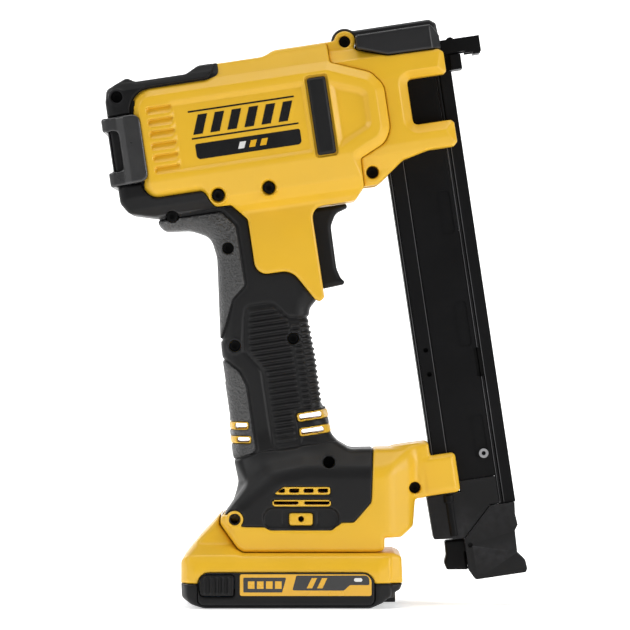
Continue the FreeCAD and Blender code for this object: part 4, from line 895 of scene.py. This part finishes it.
def rear_cap():
    """Black cap round the back of the barrel."""
    space = Space((-67, -8), 31, (197.5, 273), 0.65)
    height = space.h
    form = both(space.outline(REAR_CAP), space.width(CAP_WIDTH), 1.0)
    free_edges = REAR_CAP[:-2] + [(60, 199.8), (60, 270.7)]
    form = both(form, both(space.outline(free_edges), height - CAP_HALF, 4.0))
    collar = both(space.tube(CAP_SCREW, 3.9), height - CAP_HALF - 0.3, 0.6)
    form = either(form, collar, 0.5)
    near_face = -(space.width(CAP_WIDTH) + 2.2)
    form = without(form, both(space.outline(BARREL) - 0.25, near_face))
    form = without(form, space.outline(BARREL) + 2.5)
    form = without(form, both(space.slot((-61.5, 0), (212, 262)), height - 26))
    seat = space.outline([(-70, 217), (-49, 217, 4), (-49, 252, 4), (-70, 252)])
    form = without(form, both(seat, CAP_HALF - 1.4 - height), 0.4)
    forms = {}
    for side, depth in (("right", 4.6), ("left", 1.2)):
        hole = both(space.tube(CAP_SCREW, 2.9), CAP_HALF - depth - height)
        forms[side] = without(form, hole, 0.5)
    grip_hole = both(space.tube(GRIP_SCREWS[0], 2.9), GRIP_HALF - height)
    forms["right"] = without(forms["right"], grip_hole, 0.5)
    fitted("rear_cap_shell", forms, space, "black", "rear_cap_{}")


def rear_bumper():
    """Grey rubber clip across the back, with lugs above and below a sunken window."""
    space = Space((-70, -47), 33.5, (215, 253), 0.5)
    height = space.h
    plan = [(-68.4, 28.6), (-66, 29.6), (-61, 29.9, 0.5), (-57.4, 32, 0.5), (-49, 32)]
    form = both(space.outline(BUMPER), space.width(plan, "across"), 1.0)
    floor = 29.4 + 0.55 * (space.u[:, None, :] + 60.4)
    form = without(form, both(space.outline(BUMPER_WINDOW), floor - height), 0.3)
    form = without(form, space.outline(box(-75, -66, 224.5, 244.5, 1)), 0.6)
    form = without(form, both(space.slot((-65.2, -40), (200, 270)), height - CAP_HALF + 0.2))
    fitted("bumper_clip", form, space, "grey", "rear_bumper")


def top_cover():
    """Black cover over the nose: a raised ridge between two lower shoulders."""
    space = Space((47, 104), 26, (259, 280), 0.5)
    height = space.h
    ridge = both(space.outline(COVER_RIDGE), height - 13, 1.6)
    shoulder = both(space.outline(COVER_SIDE), height - COVER_HALF, 1.0)
    front = chamfer(space.u[:, None, :] - 101.5, height - COVER_HALF, 4.4)
    form = either(both(shoulder, front), ridge, 0.5)
    hood = both(space.tube(NOSE_BOSS, 6.7), space.slot((47, 62), (270.4, 280)), 0.5)
    form = either(form, both(hood, height - 13, 1.2), 0.3)
    form = without(form, space.tube(NOSE_BOSS, 5.45), 0.2)
    form = without(form, both(space.slot((40, 110), (250, 266)), height - CHANNEL))
    form = without(form, both(space.slot((62, 96), (255, 270)), height - 15.5))
    fitted("top_cover", form, space, "cover", "nose_top_cover")


def side_pads():
    """Black rubber bars let into the sides of the barrel."""
    space = Space((32, 45), 33, (216, 258), 0.4)
    edge, face = space.outline(PAD), space.h - BARREL_HALF - 0.7
    form = both(both(edge, face), chamfer(edge, face, 1.1))
    form = both(form, BARREL_HALF - 1.45 - space.h)
    fitted("barrel_pad", form, space, "rubber", "side_pad_{}")


def trigger():
    """Trigger with a hooked toe and a hollow for the finger."""
    space = Space((18, 47), 11, (151, 195), 0.4)
    form = both(space.outline(TRIGGER), space.h - TRIGGER_HALF, 2.4)
    form = without(form, both(space.slot((16, 26.6), (168.4, 175.6)), space.h - 3.6))
    fitted("trigger_shell", form, space, "black", "trigger")


# ---------------------------------------------------------------- grip and foot

def foot_form(space):
    """Outside of the foot: a flat side under sloping shoulders, and the arm in front."""
    height = space.h
    plan = space.width(FOOT_PLAN, "across", False)
    shoulder = (height - FOOT_HALF + 0.95 * space.outline(FOOT_PLATEAU, False)) / math.hypot(1, 0.95)
    sides = both(plan, shoulder, 3.0)
    form = both(space.outline(FOOT, False), sides, 2.2)
    return both(form, height - FOOT_HALF)


def hand_form(space):
    """Outside of the grip, with big roundings along its free edges, flowing into the foot."""
    rounded_grip = both(space.outline(GRIP_FREE, True), space.h - GRIP_HALF, 8.0)
    grip = both(rounded_grip, space.outline(GRIP, True))
    return either(grip, foot_form(space), 7.0)


def grip_relief(space):
    """How far the grip's surface stands out: sunk seams, ribs and the raised back panels."""
    u, w = space.u, space.w
    relief = np.zeros_like(u)
    for panel in (BACK_PANEL_HIGH, BACK_PANEL_LOW):
        edge = distance(panel, u, w)
        relief += 0.3 * soft_step(-edge, 0, 0.8) - 1.1 * np.exp(-((edge / 0.62) ** 2))
    edge = distance(RIB_PANEL, u, w)
    relief -= 1.1 * np.exp(-((edge / 0.62) ** 2)) + 0.4 * soft_step(-edge, 0, 1)
    wave = 0.5 + 0.5 * np.cos((w - 80.0) / RIB_PITCH * math.tau)
    ribs = soft_step(wave, 0.3, 0.8)
    field = soft_step(-distance(RIB_FIELD, u, w), -0.2, 0.7)
    relief += 1.15 * ribs * field
    scallops = soft_step(1 - wave, 0.3, 0.8)
    for left, right, phase in ((8.8, 12.9, scallops - 0.1), (12.9, 30, 0.75 * ribs - 0.4)):
        window = soft_step(u, left - 0.4, left + 0.5) * (1 - soft_step(u, right - 0.5, right + 0.4))
        window *= soft_step(w, 97, 98.5) * (1 - soft_step(w, 138.4, 139.4))
        relief += 1.15 * phase * window
    band = (w > 126.4) & (w < 135.8) & (u < -20)
    relief -= 0.25 * band
    return relief[:, None, :]


def vent_outlines(space):
    """Outer and inner outlines of the grip's four open vents."""
    pairs = []
    for low, high in FRONT_VENTS:
        outer = box(5, 24, low, high, 1.1, 0, 0, 1.1)
        inner = box(6, 16.9, low + 0.95, high - 0.95, 0.5)
        pairs.append((space.outline(outer, tool=True), space.outline(inner, tool=True)))
    for low, high, right in BACK_VENTS:
        left = -39.4 + 0.16 * (88 - low)
        outer = box(-50, right, low, high, 0, 1.1, 1.1, 0)
        inner = box(left, right - 0.95, low + 0.9, high - 0.9, 0.5)
        pairs.append((space.outline(outer, tool=False), space.outline(inner, tool=False)))
    return pairs


def foot_vents(space):
    """The two vents in the foot's side: their outlines and all their windows."""
    outlines = [space.outline(vent, False) for vent in (HIGH_VENT, LOW_VENT)]
    windows = [space.outline(window, False) for window in HIGH_WINDOWS + LOW_WINDOWS]
    return outlines, windows


def grip_and_foot():
    """Soft skin in two lengths, and the yellow housing in its vents and below it."""
    sleeve = Space((-50, 26), 18.4, (76.4, 205), RIB_PITCH / 5)
    lower = Space((-49, 30), 31.5, (36, 90), 0.6, tool=False)
    for name, space, end in (
        ("grip_skin", sleeve, SKIN_JOIN - sleeve.w[:, None, :]),
        ("foot_skin", lower, lower.w[:, None, :] - SKIN_JOIN - 0.5),
    ):
        form = both(soft_skin(space), end)
        for side in SIDES:
            half_form = with_recesses(form, space) if side == "right" else form
            shape = moulded(name, half_form, space, "rubber", f"grip_overmould_{side}", side)
            texture_panels(shape)
            if space is sleeve:
                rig.replaces(shape, f"grip_overmould_{side}")
    yellow_foot()


def skin_region(space):
    """Where the overmould lies, seen from the side."""
    return either(space.outline(FOOT_SKIN, False), space.outline(GRIP, True))


def soft_skin(space):
    """Black overmould: a thick skin over the grip and the foot's shoulders."""
    height = space.h
    outer = hand_form(space)
    form = without(outer - grip_relief(space), outer + SKIN)
    form = both(form, skin_region(space), 0.5)
    form = without(form, both(space.outline(BARREL, True) - 0.25, GRIP_HALF - 1.1 - height))
    for rim, _ in vent_outlines(space):
        form = without(form, rim, 0.4)
    for rim in foot_vents(space)[0]:
        form = without(form, rim, 0.3)
    recess = space.outline(HOOK_RECESS, False)
    form = either(form, both(recess - 0.6, np.abs(height - FOOT_HALF + 2.9) - 1.2))
    form = sunk(form, recess, FOOT_HALF, 1.7, 0.35, height)
    form = without(form, space.outline(HOOK_BLOCK, False) - 0.15)
    for line in (-15.5, 1.5):
        groove = space.slot((line - 0.35, line + 0.35), (40.3, 46.7), False)
        form = without(form, both(groove, FOOT_HALF - 2.2 - height))
    form = without(form, both(space.tube(STRAP_HOLE, 4.4, False), height - FOOT_HALF - 0.2))
    form = without(form, both(trigger_path(space), height - TRIGGER_HALF - 0.4))
    # A black tube lining the strap hole's bore, so the hole reads dark: painted shade.
    shade_lining = np.abs(space.tube(STRAP_HOLE, 2.6, False)) - 0.45
    return either(form, both(shade_lining, both(height - FOOT_HALF + 1, 15 - height)))


def trigger_path(space):
    """Where the trigger passes as it is squeezed, with some room round it."""
    stroke = TRAVEL["trigger_squeeze"]
    path = space.outline(TRIGGER_SLOT, True)
    for share in (0.35, 0.7, 1.05):
        moved = [(corner[0] - share * stroke, *corner[1:]) for corner in TRIGGER]
        path = either(path, space.outline(moved, True) - 0.4)
    return path


def with_recesses(form, space):
    """The skin with its screw recesses, which are driven from the right."""
    for centre in GRIP_SCREWS:
        form = screw_recess(form, space, centre, GRIP_HALF, True)
    sleeve = both(space.tube(FOOT_SCREW, 4.1, False), hand_form(space) + 0.1)
    form = either(form, both(sleeve, 18 - space.h), 0.3)
    return without(form, both(space.tube(FOOT_SCREW, RECESS, False), 18 - space.h), 0.45)


def screw_recess(form, space, centre, face, tool):
    """A round recess with a raised lip, for a screw driven from the right."""
    lip = both(space.tube(centre, 4.1, tool), both(form - 0.25, -(form + 1.5)))
    form = either(form, lip, 0.2)
    return without(form, both(space.tube(centre, RECESS, tool), face - 9 - space.h), 0.45)


def texture_panels(shape):
    """Dimpled rubber on the faces of the two back panels."""
    shape.data.materials.append(PAINT["dimpled"])
    count = len(shape.data.polygons)
    centres = np.zeros(count * 3)
    shape.data.polygons.foreach_get("center", centres)
    x, _, z = centres.reshape(-1, 3).T / MM
    u, w = x * COS + z * SIN, z * COS - x * SIN
    chosen = np.minimum(distance(BACK_PANEL_HIGH, u, w), distance(BACK_PANEL_LOW, u, w)) < -0.6
    shape.data.polygons.foreach_set("material_index", chosen.astype(np.int32))


def yellow_foot():
    """Yellow housing below the skin: band, arm, magazine clamp, vent rims and hook block."""
    space = Space((-80, 81), 32, (25, 202), 0.7, tool=False)
    height = space.h
    outer = hand_form(space)
    core = both(outer + SKIN + 0.2, space.outline(GRIP, tool=True) + 2.4)
    under_skin = both(skin_region(space) - 0.2, -(outer + SKIN + 0.2))
    body = without(either(foot_form(space), core), under_skin)
    rims, windows = foot_vents(space)
    arm = both(space.slot((50, 66.8), (46, 71), tool=True), height - ARM_HALF, 1.5)
    clamp_outline = space.outline(box(61, 79, 45, 64.5, 2), tool=True)
    clamp_face = height - ARM_HALF - 1
    clamp = both(both(clamp_outline, clamp_face), chamfer(clamp_outline, clamp_face, 2.2))
    body = either(body, arm, 3.0)
    body = either(body, clamp, 0.8)
    for rim, hole in vent_outlines(space):
        body = either(body, both(both(rim + 0.12, outer - 0.3), -hole))
        body = without(body, hole, 0.3)
    for rim in rims:
        body = either(body, both(rim + 0.1, both(outer - 0.12, -(outer + 3.2))))
    for window in windows:
        body = without(body, both(window, 20.5 - height), 0.2)
    block = both(both(space.outline(HOOK_BLOCK), height - FOOT_HALF + 0.5), 21.8 - height, 0.3)
    body = either(body, block)
    collar = both(space.tube(STRAP_HOLE, 4.2), both(height - FOOT_HALF - 0.1, 20 - height), 0.4)
    body = either(body, collar, 0.4)
    for across, up, wide in (
        ((-60, 27), (20, 33), 18.0),
        ((-60, 27), (32.8, 41.5), 21.5),
        ((20, 31.5), (32.8, 42), 19.4),
        ((-30, 24), (41, 60), 21.5),
    ):
        body = without(body, both(space.slot(across, up), height - wide))
    body = without(body, both(space.outline(GRIP_CAVITY, tool=True), height - 10.5))
    body = without(body, both(space.slot((66.8, 100), (30, 80), tool=True), height - CHANNEL + 0.2))
    body = without(body, space.outline(BARREL, tool=True) - 0.2)
    body = without(body, both(space.tube(HOOK_HOLE, 1.5), 24 - height))
    body = without(body, both(trigger_path(space), height - TRIGGER_HALF - 0.4))
    body = without(body, both(space.tube(FOOT_SCREW, 4.25), 9 - height))
    for side, strap_depth in (("right", 16), ("left", 2)):
        half_body = body
        if side == "right":
            arm_hole = both(space.tube(ARM_SCREW, 2.9, True), ARM_HALF - 4.6 - height)
            half_body = without(half_body, arm_hole, 0.5)
            for centre in GRIP_SCREWS:
                hole = both(space.tube(centre, 3.6, True), GRIP_HALF - 7 - height)
                half_body = without(half_body, hole)
        strap_hole = both(space.tube(STRAP_HOLE, 2.9), FOOT_HALF - strap_depth - height)
        half_body = without(half_body, strap_hole, 0.5)
        moulded("housing_foot", half_body, space, "yellow", f"housing_{side}", side)
        # A near-black disc at the bottom of the hook's bore: painted shade in the hole.
        floor = disc(HOOK_HOLE, 1.4)
        prism("hook_hole_shade", floor, 23.9, 24.3, False, side, "dark_steel_and_shade", "hook_inserts")


# ---------------------------------------------------------------- battery

def battery():
    """Battery case: yellow cover with its rails, black tray, panels, buttons and labels."""
    space = Space((-67, 44.5), 41, (-1.5, 50), 0.6, tool=False)
    height, up = space.h, space.z[:, None, :]
    plan = space.width(BATTERY_PLAN, "across")
    widths = space.width(BATTERY_WIDTH)
    shoulder = both(both(space.outline(BATTERY), widths, 2.4), plan, 1.6)
    cover = both(shoulder, 12.15 - up)
    tray_form = both(space.outline(BATTERY_BASE + [(42.7, 13), (-65.3, 13)]), plan, 2.4)
    seat = both(space.outline(BATTERY_PANEL) - 0.15, BATTERY_HALF - 1.6 - height)
    neck = both(space.slot((-44, 26.6), (24, 33.4)), height - 17.6, 0.5)
    head = both(space.slot((-44, 26.6), (33.2, 41)), height - 21.1, 0.6)
    cover = either(either(cover, neck), head)
    hollow = both(both(space.slot((-61.8, 39.6), (2.4, 23)), height - BATTERY_HALF + 2.6), plan + 2.4)
    hollow = both(hollow, either(shoulder, tray_form) + 1.2)
    grown = [(x, z, radius + 0.4) for x, z, radius in BUTTON]
    button_hole = both(space.outline(grown) - 0.4, BATTERY_HALF - 7 - height)
    cover = without(without(cover, seat, 0.3), button_hole)
    cover = without(cover, hollow)
    for across in (-15, -9, -3, 3, 9, 15):
        cut_out = both(space.slot((3, 30), (33.8, 39.8)), np.abs(height - abs(across)) - 1)
        cover = without(cover, cut_out)
    tray = both(tray_form, up - 11.95, 0.3)
    tray = without(without(without(tray, seat, 0.3), button_hole), hollow)
    panel = both(space.outline(BATTERY_PANEL), height - PANEL_FACE, 0.9)
    panel = both(panel, BATTERY_HALF - 1.55 - height)
    panel = without(panel, space.outline(grown) - 0.4, 0.3)
    for side in SIDES:
        fit("battery_top", cover, space, "yellow", "battery_cover", side)
        fit("battery_tray", tray, space, "black", "battery_base", side)
        fit("battery_face", panel, space, "black", "battery_panel_{}", side)
        battery_marks(side)
    release_buttons()


def release_buttons():
    """Ribbed buttons at the back of the battery's side panels."""
    space = Space((-58, -38), 42, (4, 18.5), 0.4, tool=False)
    ribs = soft_step(np.cos((space.x + 47.7) / 2.9 * math.tau), 0.1, 0.6)
    window = 1 - soft_step(np.abs(space.x + 47.7), 6.4, 7.2)
    window *= 1 - soft_step(np.abs(space.z - 11.2), 3.6, 4.4)
    relief = (0.9 * ribs * window)[:, None, :]
    form = both(space.outline(BUTTON), space.h - BUTTON_FACE + 0.9 - relief, 0.7)
    form = both(form, BATTERY_HALF - 2.1 - space.h)
    fitted("button", form, space, "black", "release_button_{}")


def battery_marks(side):
    """Battery label: yellow frame, dark field, plain charge bars; no lettering."""
    low = PANEL_FACE - 0.1

    def mark(name, corners, paint, sunk_by=0.0):
        high = LABEL_FACE - sunk_by
        return prism(f"label_{name}", corners, low, high, False, side, paint, "battery_labels")

    ground = mark("ground", BATTERY_LABEL, "film_yellow", 0.16)
    if side == "right":
        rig.replaces(ground, "battery_labels")
    mark("field", LABEL_FIELD, "film", 0.08)
    mark("plate", LABEL_PLATE, "film", 0.08)
    for number in range(4):
        left = -32.6 + number * 4.4
        mark(f"cell_{number}", box(left, left + 3.2, 9.8, 13.4), "film_yellow")
    for number in range(2):
        mark(f"slash_{number}", slanted(-4 + number * 5, 2.6, 10, 15, 2.4), "film_yellow")
    mark("dot", box(19, 23, 13.2, 15, 0.9), "film_white")


# ---------------------------------------------------------------- magazine

def magazine():
    """Painted highlight strips along the magazine's edges, dark plates of painted shade in its holes and window, its
    socket screw, the latch lever and the bracket's rod.
    """
    face = half("magazine_channel")
    for side in SIDES:
        # Pale strips on the step edges: painted highlights.
        for number, (across, spans, node) in enumerate(HIGHLIGHT_LINES):
            for part, (low, high) in enumerate(spans):
                line = box(across, across + 0.28, low, high)
                name = f"magazine_edge_{number}_{part}"
                prism(name, line, face - 0.1, face + 0.05, True, side, "painted_highlight", node)
        # Near-black discs at the bottom of the pin holes: painted shade.
        for number, up in enumerate((104, 116)):
            floor, name = disc((72.5, up), 1.5), f"pin_hole_floor_{number}"
            prism(name, floor, 6.6, 7.0, True, side, "dark_steel_and_shade", "magazine_channel")
        # The two floors are near-black plates inside the jam window, painted shade; the rim is black coated metal.
        for name, left, right, top, paint, node in (
            ("window_shade", 95.5, 97.1, 8.7, "dark_steel_and_shade", "magazine_channel"),
            ("window_rim", 94.4, 95.8, 9.98, "coated", "magazine_channel"),
            ("window_front_shade", 97.6, 99.6, 8.7, "dark_steel_and_shade", "magazine_cover"),
        ):
            prism(name, box(left, right, 99.3, 113.7), 8.3, top, True, side, paint, node)
        socket = disc(CHANNEL_SCREW, 1)
        low, high = face + 0.1, face + 0.35
        prism("magazine_socket", socket, low, high, True, side, "dark_steel_and_shade", "magazine_screws")
    space = Space((64, 84), 8, (4, 23), 0.4)
    lever = both(space.outline(LEVER), space.h - half("latch_lever"), 1.2)
    fitted("lever_shell", lever, space, "coated", "latch_lever")
    face = half("magazine_bracket")
    space = Space((68, 78), face + 2.5, (21, 46), 0.35)
    from_axis = np.hypot(space.u[:, None, :] - 72.8, space.h - face + 1.3)
    rod = both(from_axis - 2.3, space.slot((60, 90), (23.4, 41)), 0.3)
    head = both(from_axis - 2.9, space.slot((60, 90), (40.2, 44)), 0.4)
    form = both(either(rod, head), face - 1.2 - space.h)
    for side in SIDES:
        moulded("bracket_rod", form, space, "coated", "magazine_bracket", side)


# ---------------------------------------------------------------- CAD nodes that stay, springs

def soften_nodes():
    """Finishes and fine edge bevels for the CAD nodes that are shown as they are."""
    # The housing screws take the near-black finish, darker than their steel, as painted shade in their recesses.
    own = {"housing_screws": "dark_steel_and_shade", "latch_pin": "coated"}
    for name, node in NODES.items():
        node.data.materials.clear()
        node.data.materials.append(PAINT[own.get(name, SLOT_PAINT[SLOT_OF[name]])])
        if node.hide_render or "spring" in name:
            continue
        weld = node.modifiers.new("weld", "WELD")
        weld.merge_threshold = 0.002 * MM
        bevel = node.modifiers.new("edges", "BEVEL")
        bevel.width = 0.35 * MM
        bevel.segments = 2
        bevel.limit_method = "ANGLE"
        bevel.angle_limit = math.radians(32)
        bevel.use_clamp_overlap = True
        bevel.harden_normals = True


def springy():
    """Each spring shortens under the piece that pushes it, towards its fixed end."""
    ahead, back = (COS, 0, SIN), (-COS, 0, -SIN)
    for node, joint, axis in (
        ("trigger_spring", "trigger_squeeze", ahead),
        ("trip_springs", "contact_trip_press", ahead),
        ("latch_spring", "latch_squeeze", back),
        ("pusher_spring", "pusher_travel", (-SIN, 0, COS)),
        ("release_spring_right", "release_button_right_press", (0, -1, 0)),
        ("release_spring_left", "release_button_left_press", (0, 1, 0)),
    ):
        spring = NODES[node]
        places = [spring.matrix_world @ vertex.co for vertex in spring.data.vertices]
        reach = [sum(part * way for part, way in zip(place, axis)) for place in places]
        fixed = places[reach.index(min(reach))]
        length = (max(reach) - min(reach)) / MM
        push = TRAVEL.get(joint, LEVER_PUSH)
        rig.squash(spring, joint, axis, tuple(fixed), max(0.05, 1 - push / length))


# ---------------------------------------------------------------- stage, light and camera

def stage():
    """Pale floor that curves up behind the tool."""
    depths = [-2.6, -1.2, 0.0, 1.4, 2.3, 2.6, 2.8, 2.88, 2.9]
    heights = [0, 0, 0, 0, 0.03, 0.13, 0.35, 0.8, 3.2]
    points, faces = [], []
    for depth, up in zip(depths, heights):
        points += [(-4, depth, up - 0.0002), (4, depth, up - 0.0002)]
    for row in range(len(depths) - 1):
        first = row * 2
        faces.append((first, first + 1, first + 3, first + 2))
    floor = mesh_object("studio_floor", points, faces)
    material, tree, shader, place = new_material("studio_paper")
    clouds = ranged(tree, noise(tree, place, 3, 2), 0, 1)
    pale = blended(tree, clouds, (0.90, 0.90, 0.90), (0.93, 0.93, 0.93))
    axes = tree.nodes.new("ShaderNodeSeparateXYZ")
    tree.links.new(place, axes.inputs["Vector"])
    near = ranged(tree, axes.outputs["Y"], 1, 0, -0.9, -0.35)
    tree.links.new(blended(tree, near, pale, (0.12, 0.12, 0.12)), shader.inputs["Base Color"])
    shader.inputs["Roughness"].default_value = 0.85
    shader.inputs["Emission Color"].default_value = (1, 1, 1, 1)
    shader.inputs["Emission Strength"].default_value = 0.5
    floor.data.materials.append(material)
    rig.stage(floor)


def lamp(name, place, aim, size, power):
    """A soft rectangular light that faces a point."""
    data = bpy.data.lights.new(name, "AREA")
    data.shape = "RECTANGLE"
    data.size, data.size_y = size
    data.energy = power
    light = bpy.data.objects.new(name, data)
    SCENE.collection.objects.link(light)
    light.location = place
    towards = np.array(aim, float) - np.array(place, float)
    light.rotation_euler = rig.Vector(towards).to_track_quat("-Z", "Y").to_euler()


def surroundings():
    """Pale where the camera sees it, and dim as a source of light."""
    world = bpy.data.worlds.new("studio_world")
    world.use_nodes = True
    tree = world.node_tree
    background = tree.nodes["Background"]
    background.inputs["Color"].default_value = (1, 1, 1, 1)
    seen = tree.nodes.new("ShaderNodeLightPath").outputs["Is Camera Ray"]
    tree.links.new(ranged(tree, seen, 0.16, 0.9, 0, 1), background.inputs["Strength"])
    return world


def studio():
    """Lights, surroundings and the camera, which looks along +Y at the tool's side."""
    lamp("key", (-1.1, -0.65, 0.8), (0, 0, 0.16), (0.7, 0.7), 5.2)
    lamp("right", (1.1, -0.6, 0.35), (0, 0, 0.14), (0.7, 0.5), 6)
    lamp("low", (0.25, -0.8, 0.05), (0.04, 0, 0.17), (0.7, 0.06), 0.15)
    lamp("top", (0.05, -0.2, 1.4), (0, 0, 0.1), (1.5, 0.7), 9)
    lamp("back", (-1.0, 0.9, 0.9), (0, 0, 0.15), (0.5, 1.0), 8)
    lamp("backdrop", (0, 1.5, 1.7), (0, 2.9, 0.4), (2.6, 0.6), 30)
    SCENE.world = surroundings()
    SCENE.view_settings.view_transform = "Standard"
    data = bpy.data.cameras.new("camera")
    data.lens = 250
    data.sensor_width = 36
    camera = bpy.data.objects.new("camera", data)
    SCENE.collection.objects.link(camera)
    camera.location = (0.0, -2.164, 0.1428)
    camera.rotation_euler = (math.radians(90), 0, 0)
    SCENE.camera = camera


barrel()
nose()
rear_cap()
rear_bumper()
top_cover()
side_pads()
trigger()
grip_and_foot()
battery()
magazine()
soften_nodes()
springy()
stage()
studio()

low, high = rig.bounds()
with open("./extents.json") as report:
    sizes = json.load(report)
sizes["visual"] = [list(low), list(high)]
with open("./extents.json", "w") as report:
    json.dump(sizes, report)
